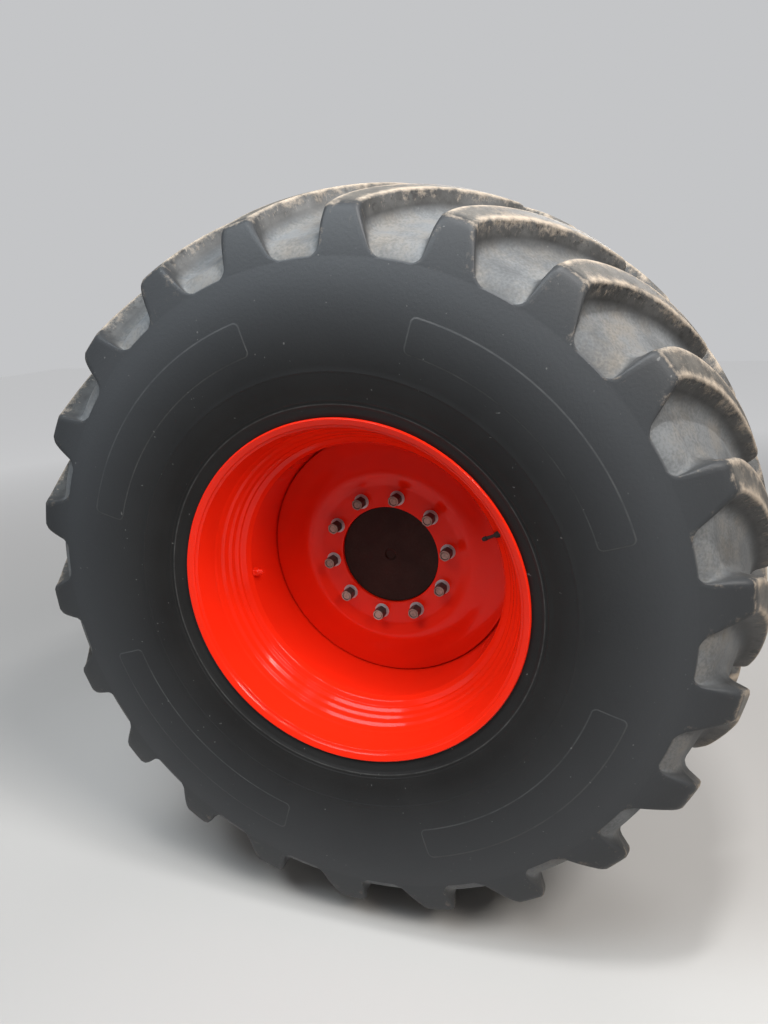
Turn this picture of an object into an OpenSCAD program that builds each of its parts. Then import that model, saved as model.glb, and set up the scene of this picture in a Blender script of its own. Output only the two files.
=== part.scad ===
// Driven front wheel of a forage harvester with its hub and final drive.
// Millimetres. +X is the vehicle's forward direction, +Y points to the vehicle's middle, +Z is up.
// The wheel turns about the Y axis. The origin is the centre of the final drive's mounting face.

/* [Tyre] */
// Outside diameter over the lugs
tyre_od = 1893; // [1880:1:1906]
// Width over the sidewalls
tyre_w = 800; // [786:1:814]
// Width of the tread over the ends of the lugs
tread_w = 700; // [686:1:712]
// Radius at which the sidewalls are widest
bulge_r = 658; // [644:1:672]
// Radius at which the lugs run out into the sidewall
lug_foot_r = 774; // [766:1:782]
// Height of the lugs in the middle of the tread
lug_h = 48; // [40:1:54]
// Height of the lugs at the shoulder
shoulder_h = 55; // [48:1:60]
// How much lower the shoulder is than the middle of the tread
tread_crown = 68.5; // [60:0.5:76]
// Number of lugs on each side
lug_count = 22; // [20:1:24]
// Width of a lug at its shoulder end
lug_end_w = 54; // [46:1:62]
// Width of a lug along the tread, measured around the wheel
lug_bar_w = 72; // [60:1:82]
// Width of a lug's foot on the sidewall
lug_foot_w = 120; // [106:1:132]
// How far a lug's foot is set forward of its shoulder end
lug_foot_shift = 14; // [8:1:18]
// How much wider each flank of a lug is at its root
lug_draft = 10; // [6:1:14]
// Turn of a lug from the shoulder to the middle, in degrees
lug_sweep = 19; // [16:0.5:22]
// Angle of the first lug's shoulder end above the forward direction
lug_phase = 5.3; // [0:0.1:16]
// Thickness of the sidewalls
sidewall_t = 18; // [15:1:21]
// Thickness of the casing under the tread
crown_t = 30; // [25:1:34]

/* [Rim] */
// Diameter of the bead seats
seat_d = 822; // [812:1:832]
// Height of the flanges over the bead seats
flange_h = 23; // [21:0.5:25]
// Depth of the well below the bead seats
well_depth = 66; // [62:1:70]
// Width between the flanges
rim_w = 686; // [676:1:696]
// Width of each flange's lip
lip_w = 15; // [14:0.5:17]
// Thickness of the rim
rim_t = 8; // [7:0.5:9]
// Gap between the tyre's beads and the rim
bead_gap = 0.3; // [0.2:0.1:0.6]

/* [Disc] */
// Depth of the disc's outer face behind the edge of the rim
disc_depth = 323; // [314:1:330]
// Thickness of the disc
disc_t = 15; // [13:1:17]
// Diameter of the hole in the disc
disc_bore_d = 276; // [268:1:280]
// Diameter of the flat face under the nuts
bolt_face_d = 390; // [384:1:396]
// Radius of the raised ring around the bolt face
crest_r = 228; // [224:1:232]
// Height of the raised ring
crest_h = 13; // [9:1:17]
// Gap between the disc's edge and the rim's well
disc_gap = 3; // [2:0.5:5]
// Leg of the weld behind the disc
weld_leg = 12; // [9:1:15]

/* [Wheel bolts] */
// Number of wheel studs
stud_count = 10; // [8:1:10]
// Diameter of the circle of studs
stud_pcd = 335; // [332:1:338]
// Diameter of a stud
stud_d = 20; // [18:1:22]
// Diameter of the holes for the studs in the disc
stud_hole_d = 23; // [22:0.5:25]
// Angle of the first stud above the forward direction
stud_phase = 80; // [0:1:90]
// Size of the nuts across their flats
nut_af = 28; // [26:1:30]
// Height of a nut above its washers
nut_h = 31; // [26:1:34]
// Diameter of the washers
washer_d = 41; // [38:1:43]
// Thickness of the pair of washers
washer_t = 6; // [5:0.5:7]

/* [Hub] */
// Depth of the hub's face behind the disc's outer face
hub_recess = 8.5; // [6:0.5:11]
// Diameter of the hub's flange
hub_flange_d = 407; // [400:1:414]
// Thickness of the hub's flange
hub_flange_t = 28; // [24:1:32]
// Diameter of the hub's drum
hub_drum_d = 290; // [276:1:296]
// Length of the hub behind its flange's front
hub_l = 165; // [150:1:175]
// Gap between the hub and what it turns on
running_gap = 0.3; // [0.2:0.1:0.5]

/* [Final drive] */
// Distance from the mounting face to the wheel disc's inner face
drive_l = 430; // [420:1:440]
// Diameter of the mounting flange
mount_d = 440; // [430:1:450]
// Thickness of the mounting flange
mount_t = 28; // [24:1:32]
// Distance from the mounting bolts to the edge of the mounting flange
mount_edge = 22; // [18:0.5:24]
// Number of mounting bolts
mount_count = 12; // [10:1:14]
// Diameter of the holes for the mounting bolts
mount_hole_d = 22; // [20:0.5:24]
// Diameter of the centring spigot
spigot_d = 300; // [290:1:310]
// Length of the centring spigot
spigot_l = 12; // [8:1:16]
// Diameter of the neck behind the mounting flange
neck_d = 320; // [310:1:330]
// Diameter of the gear case
case_d = 380; // [370:1:390]
// Length of the gear case
case_l = 90; // [80:1:96]
// Diameter of the spindle that carries the hub
spindle_d = 160; // [150:1:170]
// Number of ribs around the neck
rib_count = 8; // [6:1:10]
// Thickness of a rib
rib_t = 14; // [10:1:18]

/* [Input shaft] */
// Diameter of the shaft
shaft_d = 62; // [56:1:66]
// Length of shaft that stands out of the spigot
shaft_out = 70; // [60:1:80]
// Number of splines
spline_count = 24; // [20:1:28]

/* [Small parts] */
// Angle of the valve above the forward direction
valve_angle = 22.5; // [15:0.5:30]
// Distance of the valve from the rim's edge
valve_in = 148; // [146:0.5:150]
// Length of the valve
valve_l = 43; // [38:1:48]
// Diameter of the valve stem
valve_d = 8; // [7:0.5:9]
// Angle of the filling plug above the forward direction
plug_angle = 184; // [178:1:190]
// Distance of the filling plug from the rim's edge
plug_in = 185; // [185:1:206]
// Length of the filling plug
plug_l = 27; // [22:1:32]
// Size of the case's plugs across their flats
case_plug_af = 30; // [24:1:32]

/* [Hidden] */
$fn = 96;
tyre_r = tyre_od / 2;
flange_r = seat_d / 2 + flange_h;
seat_r = seat_d / 2 - rim_t;
well_r = seat_d / 2 - well_depth;
rim_half = rim_w / 2 + lip_w;
hub_face_y = -drive_l;
disc_y = hub_face_y - disc_t;
rim_edge_y = disc_y - disc_depth;
mid_y = rim_edge_y + rim_half;
hub_front_y = disc_y + hub_recess;
hub_rear_y = hub_face_y + hub_l;
spigot_r = disc_bore_d / 2 - running_gap;
seal_t = 10;
stud_head_d = stud_d + 12;
stud_head_t = 10;
case_front_y = hub_rear_y + seal_t + 2 * running_gap;
case_rear_y = case_front_y + case_l;
nut_top_y = disc_y - washer_t - nut_h;
mount_pcd = mount_d - 2 * mount_edge;
lug_pitch = 360 / lug_count;

// Outlines are lists of [radius, distance along the axis].

// Centre of the circle through three points
function centre_of(a, b, c) =
  let (
    d = 2 * (a.x * (b.y - c.y) + b.x * (c.y - a.y) + c.x * (a.y - b.y)),
    p = a * a,
    q = b * b,
    r = c * c
  )
  [
    (p * (b.y - c.y) + q * (c.y - a.y) + r * (a.y - b.y)) / d,
    (p * (c.x - b.x) + q * (a.x - c.x) + r * (b.x - a.x)) / d
  ];

// Points on the arc that starts at a, passes b and ends at c
function arc(a, b, c, n) =
  let (
    o = centre_of(a, b, c),
    r = norm(a - o),
    start = atan2(a.y - o.y, a.x - o.x),
    turn = atan2(c.y - o.y, c.x - o.x) - start,
    sweep = turn > 180 ? turn - 360 : turn < -180 ? turn + 360 : turn
  )
  [for (i = [0:n]) o + r * [cos(start + sweep * i / n), sin(start + sweep * i / n)]];

function reversed(points) = [for (i = [len(points) - 1:-1:0]) points[i]];

function flipped(points) = [for (p = points) [p.x, -p.y]];

function unit(v) = v / norm(v);

// Offset of corner i of an open path to the left by t, along the mitre
function offset_corner(path, i, t) =
  let (
    before = unit(path[max(i, 1)] - path[max(i, 1) - 1]),
    last = len(path) - 1,
    after = unit(path[min(i, last - 1) + 1] - path[min(i, last - 1)]),
    side = unit(before + after)
  )
  path[i] + t / (side * before) * [-side.y, side.x];

function offset_path(path, t) = [for (i = [0:len(path) - 1]) offset_corner(path, i, t)];

// Outline of a sheet of thickness t that lies to the left of a path
function sheet(path, t) = concat(path, reversed(offset_path(path, t)));

module turned(points) {
  rotate([-90, 0, 0])
    rotate_extrude()
      polygon(points);
}

// A cylinder along the Y axis between two places
module bar(d, from_y, to_y) {
  translate([0, from_y, 0])
    rotate([-90, 0, 0])
      cylinder(d = d, h = to_y - from_y);
}

// Turns what lies in the forward direction up by an angle
module at_angle(a) {
  rotate([0, -a, 0])
    children();
}

// Copies around the wheel, on a circle of radius r
module around(count, phase, r) {
  for (k = [0:count - 1])
    at_angle(phase - k * 360 / count)
      translate([r, 0, 0])
        children();
}

// Visible side of the rim from the flange's lip to the well: the distance from the edge and the radius
rim_steps = [
  [0, flange_r - 1],
  [2.5, flange_r - 8],
  [6, flange_r - 15],
  [lip_w - 3, seat_r + 7],
  [lip_w + 9, seat_r],
  [80, seat_r - 2],
  [87, seat_r - 4],
  [103, seat_r - 14.5],
  [116, well_r + 35],
  [126.5, well_r + 32.5],
  [141, well_r + 21.5],
  [148, well_r + 19],
  [157, well_r + 8],
  [173, well_r]
];
rim_path = [for (s = rim_steps) [s[1], rim_half - s[0]]];

// Part of the rim's path that a bead lies on
seat_steps = 5;
bead_path = offset_path([for (i = [0:seat_steps]) rim_path[i]], rim_t + bead_gap);

// Outside of the sidewall, from the rim's flange over the widest place to the lugs' feet
flange_top = [flange_r + 5, rim_half - 7];
bulge = [bulge_r, tyre_w / 2];
lug_foot = [lug_foot_r, tyre_w / 2 - 16];
void_r = tyre_r - lug_h;
void_edge = [tyre_r - tread_crown - shoulder_h, tread_w / 2 - 33];

function void_at(u) = void_r - (void_r - void_edge.x) * pow(u / void_edge.y, 2);

function tread_at(u) = tyre_r - tread_crown * pow(u / (tread_w / 2), 2);

module casing() {
  outside = concat(
    arc(flange_top, bulge, lug_foot, 8),
    arc([lug_foot.x + 15, lug_foot.y - 12], [void_edge.x - 9, void_edge.y + 28], void_edge, 4),
    [for (u = [280, 200, 100]) [void_at(u), u]]
  );
  inside = concat(
    [[seat_r + 16, rim_half - 90], [flange_r + 10, rim_half - 38]],
    arc(
      [flange_r + 52, flange_top.y - sidewall_t + 6],
      bulge - [0, sidewall_t],
      [lug_foot.x - 10, lug_foot.y - sidewall_t - 12],
      5
    ),
    [for (u = [290, 180, 0]) [void_at(u) - crown_t, u]]
  );
  half = concat(reversed(inside), reversed(bead_path), outside);
  turned(concat(half, reversed(flipped(half))));
}

// One lug of the outboard side: stations along it from its foot on the sidewall to its nose in the
// middle of the tread. A station is [radius and place of its top, radius and place of its root,
// turn, width of its top, shift of its middle].
foot_stations = 3;
bar_stations = 6;
nose_over = 8;

function foot_station(s) =
  let (
    tip = [tread_at(tread_w / 2), tread_w / 2],
    start = lug_foot - [6, 0.6],
    root_start = lug_foot - [10, 10],
    root_end = [void_edge.x - 20, void_edge.y + 8]
  )
  [
    start + (tip - start) * s,
    root_start + (root_end - root_start) * s,
    0,
    lug_foot_w + (lug_end_w - lug_foot_w) * s,
    -lug_foot_shift * (1 - s)
  ];

function bar_station(s) =
  let (
    u = (tread_w / 2 - 4) * (1 - s) - nose_over * s,
    root_u = min(abs(u), void_edge.y - 4)
  )
  [
    [tread_at(u), u],
    [void_at(root_u) - 10, u > 0 ? root_u : u],
    -lug_sweep * pow(s, 1.6),
    lug_end_w + (lug_bar_w - lug_end_w) * min(1, 4 * s),
    0
  ];

lug_stations = concat(
  [for (i = [0:foot_stations]) foot_station(i / foot_stations)],
  [for (i = [1:bar_stations]) bar_station(i / bar_stations)]
);

// A point at a place [r, u], turned by a and set off sideways by w
function wheel_point(p, a, w) =
  let (t = a + w / p.x * 180 / PI)
  [p.x * cos(t), -p.y, p.x * sin(t)];

function station_corners(s) = [
  wheel_point(s[0], s[2], s[4] - s[3] / 2),
  wheel_point(s[0], s[2], s[4] + s[3] / 2),
  wheel_point(s[1], s[2], s[4] + s[3] / 2 + lug_draft),
  wheel_point(s[1], s[2], s[4] - s[3] / 2 - lug_draft)
];

module lug() {
  last = 4 * (len(lug_stations) - 1);
  sides = [
    for (i = [0:len(lug_stations) - 2], j = [0:3], half = [0, 1])
      let (
        a = 4 * i + j,
        b = 4 * i + (j + 1) % 4
      )
      half == 0 ? [a, b, b + 4] : [a, b + 4, a + 4]
  ];
  ends = [[0, 3, 2], [0, 2, 1], [last, last + 1, last + 2], [last, last + 2, last + 3]];
  polyhedron(points = [for (s = lug_stations) each station_corners(s)], faces = concat(sides, ends));
}

module lug_row(phase) {
  for (k = [0:lug_count - 1])
    at_angle(phase + k * lug_pitch)
      lug();
}

module tyre() {
  color([0.13, 0.13, 0.13])
    translate([0, mid_y, 0])
      union() {
        casing();
        lug_row(lug_phase);
        mirror([0, 1, 0])
          lug_row(lug_phase + lug_pitch / 2);
      }
}

module rim() {
  color([0.85, 0.1, 0.04])
    translate([0, mid_y, 0])
      difference() {
        turned(both_sides_sheet(rim_path, rim_t));
        at_angle(valve_angle)
          translate([well_r, -valve_seat.y, 0])
            rotate([0, 90, 0])
              cylinder(d = grommet_d + 2 * running_gap, h = 60);
      }
}

function both_sides_sheet(path, t) =
  let (outer = offset_path(path, t))
  concat(path, reversed(flipped(path)), flipped(outer), reversed(outer));

// Outboard side of the disc from its bore to the well: the radius and the height above the bolt face
disc_edge_r = well_r - disc_gap;
disc_path = concat(
  [[disc_bore_d / 2, 0], [bolt_face_d / 2, 0]],
  arc([crest_r - 17, crest_h * 0.45], [crest_r, crest_h], [crest_r + 19, crest_h * 0.75], 4),
  [[disc_edge_r - 60, crest_h * 0.2], [disc_edge_r, 0]]
);

module wheel_disc() {
  color([0.8, 0.08, 0.03])
    difference() {
      translate([0, disc_y, 0])
        turned([for (p = sheet(disc_path, -disc_t)) [p.x, -p.y]]);
      around(stud_count, stud_phase, stud_pcd / 2)
        bar(stud_hole_d, disc_y - 1, hub_face_y + 1);
    }
}

module disc_weld() {
  color([0.75, 0.08, 0.03])
    turned([
      [disc_edge_r - weld_leg, hub_face_y],
      [well_r, hub_face_y],
      [well_r, hub_face_y + weld_leg]
    ]);
}

module hub() {
  bore_end_y = hub_face_y + 40;
  drum_fillet = stud_pcd / 2 - stud_head_d / 2 - hub_drum_d / 2 - 1;
  color([0.16, 0.12, 0.1])
    difference() {
      turned([
        [0, hub_front_y + 5],
        [14, hub_front_y + 5],
        [16, hub_front_y],
        [spigot_r - 2, hub_front_y],
        [spigot_r, hub_front_y + 2],
        [spigot_r, hub_face_y],
        [hub_flange_d / 2 - 2, hub_face_y],
        [hub_flange_d / 2, hub_face_y + 2],
        [hub_flange_d / 2, hub_face_y + hub_flange_t],
        [hub_drum_d / 2 + drum_fillet, hub_face_y + hub_flange_t],
        [hub_drum_d / 2, hub_face_y + hub_flange_t + drum_fillet],
        [hub_drum_d / 2, hub_rear_y],
        [spindle_d / 2 + running_gap, hub_rear_y],
        [spindle_d / 2 + running_gap, bore_end_y],
        [0, bore_end_y]
      ]);
      around(stud_count, stud_phase, stud_pcd / 2)
        bar(stud_d + 2 * running_gap, hub_face_y - 1, hub_face_y + hub_flange_t + 1);
    }
}

module hub_seal() {
  color([0.2, 0.2, 0.2])
    turned([
      [spindle_d / 2 + 4, hub_rear_y + running_gap],
      [hub_drum_d / 2 - 8, hub_rear_y + running_gap],
      [hub_drum_d / 2 - 8, hub_rear_y + seal_t + running_gap],
      [spindle_d / 2 + 4, hub_rear_y + seal_t + running_gap]
    ]);
}

module wheel_studs() {
  head_y = hub_face_y + hub_flange_t;
  color([0.45, 0.42, 0.38])
    around(stud_count, stud_phase, stud_pcd / 2)
      union() {
        bar(stud_d, nut_top_y + 1, head_y + 1);
        bar(stud_head_d, head_y + running_gap, head_y + stud_head_t);
      }
}

module nut_washers() {
  color([0.7, 0.7, 0.7])
    around(stud_count, stud_phase, stud_pcd / 2)
      difference() {
        union() {
          bar(washer_d, disc_y - washer_t / 2, disc_y);
          bar(washer_d - 3, disc_y - washer_t, disc_y - washer_t / 2);
        }
        bar(stud_d + 2 * running_gap, disc_y - washer_t - 1, disc_y + 1);
      }
}

module wheel_nut(k) {
  across_corners = nut_af / cos(30);
  color([0.62, 0.5, 0.42])
    at_angle(stud_phase - (k - 1) * 360 / stud_count)
      translate([stud_pcd / 2, 0, 0])
        difference() {
          intersection() {
            translate([0, nut_top_y, 0])
              rotate([-90, 0, 0])
                cylinder(d = across_corners, h = nut_h, $fn = 6);
            turned([
              [0, nut_top_y],
              [nut_af / 2, nut_top_y],
              [across_corners / 2 + 1, nut_top_y + 2],
              [across_corners / 2 + 1, disc_y - washer_t],
              [0, disc_y - washer_t]
            ]);
          }
          bar(stud_d + 2 * running_gap, nut_top_y - 1, disc_y);
        }
}

// Where the valve and the filling plug stand on the rim
valve_seat = [well_r + 19, rim_half - valve_in];
plug_seat = [well_r, rim_half - plug_in];
grommet_d = valve_d + 8;
cap_l = 12;

// What stands on the rim at a seat, with its height toward the axle
module on_rim(angle, seat) {
  at_angle(angle)
    translate([seat.x, mid_y - seat.y, 0])
      rotate([0, -90, 0])
        children();
}

module valve_stem() {
  color([0.06, 0.06, 0.06])
    on_rim(valve_angle, valve_seat)
      union() {
        translate([0, 0, -rim_t])
          cylinder(d = grommet_d, h = rim_t + 14);
        cylinder(d = valve_d, h = valve_l - cap_l);
      }
}

module valve_cap() {
  color([0.04, 0.04, 0.04])
    on_rim(valve_angle, valve_seat)
      translate([0, 0, valve_l - cap_l])
        cylinder(d = valve_d + 3, h = cap_l);
}

module filling_plug() {
  color([0.85, 0.1, 0.04])
    on_rim(plug_angle, plug_seat - [running_gap, 0])
      difference() {
        union() {
          cylinder(d = 24, h = 5);
          cylinder(d = 21, h = 13, $fn = 6);
          cylinder(d = 12, h = plug_l);
        }
        translate([0, 0, plug_l - 8])
          cylinder(d = 4.5, h = 9);
      }
}

module final_drive_housing() {
  neck_front_y = case_rear_y + 14;
  spindle_front_y = hub_face_y + 44;
  color([0.15, 0.13, 0.12])
    difference() {
      union() {
        turned([
          [0, spindle_front_y],
          [spindle_d / 2 - 3, spindle_front_y],
          [spindle_d / 2, spindle_front_y + 3],
          [spindle_d / 2, case_front_y],
          [case_d / 2 - 4, case_front_y],
          [case_d / 2, case_front_y + 4],
          [case_d / 2, case_rear_y - 8],
          [case_d / 2 - 8, case_rear_y],
          [neck_d / 2, neck_front_y],
          [neck_d / 2, -mount_t],
          [mount_d / 2 - 2, -mount_t],
          [mount_d / 2, -mount_t + 2],
          [mount_d / 2, 0],
          [spigot_d / 2, 0],
          [spigot_d / 2, spigot_l - 2],
          [spigot_d / 2 - 2, spigot_l],
          [0, spigot_l]
        ]);
        around(rib_count, 180 / rib_count, 0)
          translate([0, case_rear_y - 20, -rib_t / 2])
            cube([case_d / 2 - 6, -mount_t / 2 - case_rear_y + 20, rib_t]);
      }
      around(mount_count, 0, mount_pcd / 2)
        bar(mount_hole_d, -mount_t - 1, 1);
      bar(shaft_d + 22, -40, spigot_l + 1);
      bar(shaft_d + 2 * running_gap, -90, spigot_l + 1);
    }
}

module shaft_seal() {
  color([0.1, 0.1, 0.1])
    turned([
      [shaft_d / 2 + running_gap, -12],
      [shaft_d / 2 + 10.7, -12],
      [shaft_d / 2 + 10.7, spigot_l - 3],
      [shaft_d / 2 + 6, spigot_l - 3],
      [shaft_d / 2 + running_gap, spigot_l - 6]
    ]);
}

module input_shaft() {
  root_d = shaft_d - 6;
  spline_w = PI * shaft_d / spline_count / 2;
  color([0.6, 0.6, 0.62])
    union() {
      bar(shaft_d, -89, spigot_l + 4);
      bar(root_d, spigot_l, spigot_l + shaft_out - 4);
      around(spline_count, 0, 0)
        translate([0, spigot_l, -spline_w / 2])
          cube([shaft_d / 2, shaft_out - 8, spline_w]);
    }
}

// Hexagon plug that stands on a boss of the gear case
module case_plug() {
  rotate([0, 90, 0])
    union() {
      cylinder(d = case_plug_af + 6, h = 4);
      cylinder(d = case_plug_af / cos(30), h = 14, $fn = 6);
    }
}

module drain_plug() {
  color([0.6, 0.58, 0.5])
    at_angle(-90)
      translate([case_d / 2 + running_gap, case_front_y + case_l / 2, 0])
        case_plug();
}

module level_plug() {
  color([0.6, 0.58, 0.5])
    at_angle(180)
      translate([case_d / 2 + running_gap, case_front_y + case_l / 2, 0])
        case_plug();
}

module breather() {
  color([0.55, 0.5, 0.4])
    at_angle(90)
      translate([case_d / 2 + running_gap, case_front_y + case_l / 2, 0])
        rotate([0, 90, 0])
          union() {
            cylinder(d = 16, h = 16);
            translate([0, 0, 12])
              cylinder(d = 28, h = 12);
          }
}

tyre();
rim();
wheel_disc();
disc_weld();
valve_stem();
valve_cap();
filling_plug();
hub();
hub_seal();
wheel_studs();
nut_washers();
for (k = [1:stud_count])
  wheel_nut(k);
final_drive_housing();
shaft_seal();
drain_plug();
level_plug();
breather();
input_shaft();
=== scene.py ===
"""Looks of a forage harvester's driven front wheel with its hub and final drive.

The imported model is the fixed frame: +X is the vehicle's forward direction, +Y points to the
vehicle's middle and +Z is up. The wheel turns about the Y axis. Shapes are worked out in
millimetres and become metres when a mesh is made. The finishes, the camera and the lamps are in
metres. A place on the wheel is its radius from the axle, its offset from the wheel's middle plane
toward the outboard side, and its angle above the forward direction.
"""

import logging
import math
from dataclasses import dataclass, field
from enum import Enum

import bpy
import numpy as np
from mathutils import Matrix, Vector

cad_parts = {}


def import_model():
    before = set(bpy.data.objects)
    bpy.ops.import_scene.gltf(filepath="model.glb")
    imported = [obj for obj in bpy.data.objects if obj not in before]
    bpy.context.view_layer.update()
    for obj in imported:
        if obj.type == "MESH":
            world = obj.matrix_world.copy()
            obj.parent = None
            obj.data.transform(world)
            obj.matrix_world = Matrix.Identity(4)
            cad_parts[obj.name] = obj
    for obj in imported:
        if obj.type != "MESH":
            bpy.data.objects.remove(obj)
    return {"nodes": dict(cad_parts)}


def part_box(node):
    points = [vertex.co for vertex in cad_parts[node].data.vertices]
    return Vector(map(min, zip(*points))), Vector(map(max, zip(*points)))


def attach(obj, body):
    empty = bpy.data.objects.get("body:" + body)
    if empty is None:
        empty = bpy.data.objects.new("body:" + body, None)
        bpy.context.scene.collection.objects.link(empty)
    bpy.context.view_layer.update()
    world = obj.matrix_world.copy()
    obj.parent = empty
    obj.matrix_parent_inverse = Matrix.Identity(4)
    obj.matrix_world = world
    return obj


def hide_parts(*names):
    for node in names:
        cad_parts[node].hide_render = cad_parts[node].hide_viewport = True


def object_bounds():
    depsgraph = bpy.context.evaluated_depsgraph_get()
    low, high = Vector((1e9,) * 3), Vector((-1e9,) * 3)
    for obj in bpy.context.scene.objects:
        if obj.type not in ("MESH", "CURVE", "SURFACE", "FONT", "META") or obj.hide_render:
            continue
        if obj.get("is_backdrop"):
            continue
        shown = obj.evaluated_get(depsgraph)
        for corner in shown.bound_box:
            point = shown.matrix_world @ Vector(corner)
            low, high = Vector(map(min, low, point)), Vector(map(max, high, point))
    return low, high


LOG = logging.getLogger("wheel_scene")
MM = 0.001
WHEEL_BODY = "wheel"
Colour = tuple[float, float, float, float]
Point = tuple[float, float, float]
Pair = tuple[float, float]
Socket = bpy.types.NodeSocket
Sockets = bpy.types.bpy_prop_collection


class Slot(str, Enum):
    """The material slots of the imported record."""

    TYRE = "tyre_rubber"
    PAINT = "wheel_paint"
    SEAL = "black_rubber"
    CAP = "black_plastic"
    HUB = "hub_paint"
    CAST = "cast_paint"
    NUT = "dusty_steel"
    ZINC = "zinc"
    BRASS = "brass"
    STEEL = "bare_steel"


# Shapes


def unit(vectors: np.ndarray) -> np.ndarray:
    """Scale vectors to length one."""
    return vectors / np.maximum(np.linalg.norm(vectors, axis=-1, keepdims=True), 1e-12)


def half_angle(a: np.ndarray, b: np.ndarray) -> np.ndarray:
    """Find half the angle between unit vectors, held off zero and off a right angle."""
    half = np.arccos(np.clip((a * b).sum(1), -1.0, 1.0)) / 2
    return np.clip(half, 1e-3, math.pi / 2 - 1e-4)


def corner_arcs(
    before: np.ndarray, corner: np.ndarray, after: np.ndarray, leg: np.ndarray, share: np.ndarray
) -> np.ndarray:
    """Find points on arcs that round corners.

    An arc touches both edges of its corner at the leg's length from it. Its centre lies on the
    bisector, and its points turn from one touching point to the other in equal steps.

    Args:
        before: Points before the corners, one row each.
        corner: The corners.
        after: Points after the corners.
        leg: Distance from each corner to where its arc starts and ends.
        share: Shares of the way along an arc, from 0 to 1.

    Returns:
        Array of corners by shares by two.
    """
    a, b = unit(before - corner), unit(after - corner)
    half = half_angle(a, b)
    centre = corner + unit(a + b) * (leg / np.cos(half))[:, None]
    swing = (math.pi - 2 * half)[:, None]
    first = np.sin((1 - share)[None, :] * swing) / np.sin(swing)
    last = np.sin(share[None, :] * swing) / np.sin(swing)
    start = corner + a * leg[:, None] - centre
    end = corner + b * leg[:, None] - centre
    return centre[:, None] + first[..., None] * start[:, None] + last[..., None] * end[:, None]


def rounded(
    outline: np.ndarray | list, radii: np.ndarray | float, steps: int = 3, beside: float = 0.5
) -> np.ndarray:
    """Round the corners of a closed outline.

    A corner's arc reaches along each edge by the radius over the tangent of half the corner's
    angle, and by less than half the edge. One more point lies on each edge just beside the arc, so
    that smooth shading stays flat between the corners. A corner of radius zero stays one point.

    Args:
        outline: Corners, one row each.
        radii: Radius wanted at each corner, or at all of them.
        steps: Pieces in each arc.
        beside: Distance of the points beside the arc.

    Returns:
        The rounded outline's points.
    """
    longest_leg, longest_gap, least_move = 0.44, 0.05, 1e-6
    outline = np.asarray(outline, float)
    radii = np.broadcast_to(radii, len(outline))
    before, after = np.roll(outline, 1, axis=0), np.roll(outline, -1, axis=0)
    a, b = unit(before - outline), unit(after - outline)
    shorter = np.minimum(*(np.linalg.norm(p - outline, axis=1) for p in (before, after)))
    leg = np.minimum(radii / np.tan(half_angle(a, b)), longest_leg * shorter)
    arcs = corner_arcs(before, outline, after, leg, np.linspace(0.0, 1.0, steps + 1))
    gap = np.where(radii > 0, np.minimum(beside, longest_gap * shorter), 0.0)[:, None]
    ends = [(outline + e * (leg[:, None] + gap))[:, None] for e in (a, b)]
    points = np.concatenate([ends[0], arcs, ends[1]], axis=1).reshape(-1, 2)
    move = np.linalg.norm(points - np.roll(points, 1, axis=0), axis=1)
    return points[move > least_move]


def capped(profile: list[Pair], radius: float, steps: int = 2) -> np.ndarray:
    """Close a profile that starts and ends on its axis, and round its other corners.

    Args:
        profile: Radii and heights, the first and the last on the axis.
        radius: Radius of the other corners.
        steps: Pieces in each rounding.

    Returns:
        The closed outline.
    """
    radii = np.full(len(profile), radius)
    radii[[0, -1]] = 0.0
    return rounded(profile, radii, steps)


def arc(a: Pair, b: Pair, c: Pair, share: np.ndarray) -> np.ndarray:
    """Find points on the arc from a past b to c, about the point that is as far from all three.

    Args:
        a: Start.
        b: Point between.
        c: End.
        share: Shares of the way along the arc, from 0 to 1.

    Returns:
        One point for each share.
    """
    a, b, c = np.array(a, float), np.array(b, float), np.array(c, float)
    across = 2 * np.array([b - a, c - a])
    centre = np.linalg.solve(across, np.array([b @ b - a @ a, c @ c - a @ a]))
    start = math.atan2(*(a - centre)[::-1])
    turn = math.atan2(*(c - centre)[::-1]) - start
    angle = start + ((turn + math.pi) % (2 * math.pi) - math.pi) * np.asarray(share)
    radius = np.linalg.norm(a - centre)
    return centre + radius * np.stack([np.cos(angle), np.sin(angle)], axis=-1)


def offset_path(path: np.ndarray, distance: float) -> np.ndarray:
    """Shift an open path to its left, along the mitre of its corners.

    Args:
        path: Points, one row each.
        distance: How far the path moves.

    Returns:
        The points, each moved by the distance over the cosine of half the turn at it.
    """
    along = unit(np.diff(path, axis=0))
    before, after = np.vstack([along[:1], along]), np.vstack([along, along[-1:]])
    side = unit(before + after)
    normal = np.stack([-side[:, 1], side[:, 0]], axis=1)
    return path + normal * (distance / (side * before).sum(1))[:, None]


def smooth_step(value: np.ndarray, low: float, high: float) -> np.ndarray:
    """Rise from 0 at low to 1 at high: three times the share's square less twice its cube."""
    share = np.clip((value - low) / (high - low), 0.0, 1.0)
    return share * share * (3 - 2 * share)


def round_angles(count: int) -> np.ndarray:
    """Divide a full turn into equal steps, with no last one."""
    return np.linspace(0.0, 2 * math.pi, count, endpoint=False)


def hexagon_radius(across_flats: float, angle: np.ndarray) -> np.ndarray:
    """Find a hexagon's radius: half its width over the cosine of the angle off the nearest flat."""
    nearest = (angle + math.pi / 6) % (math.pi / 3) - math.pi / 6
    return across_flats / 2 / np.cos(nearest)


def add_object(name: str, data: bpy.types.ID) -> bpy.types.Object:
    """Add an object to the scene.

    Args:
        name: The object's name.
        data: Its mesh, lamp or camera.

    Returns:
        The object.
    """
    made = bpy.data.objects.new(name, data)
    bpy.context.scene.collection.objects.link(made)
    return made


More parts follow.
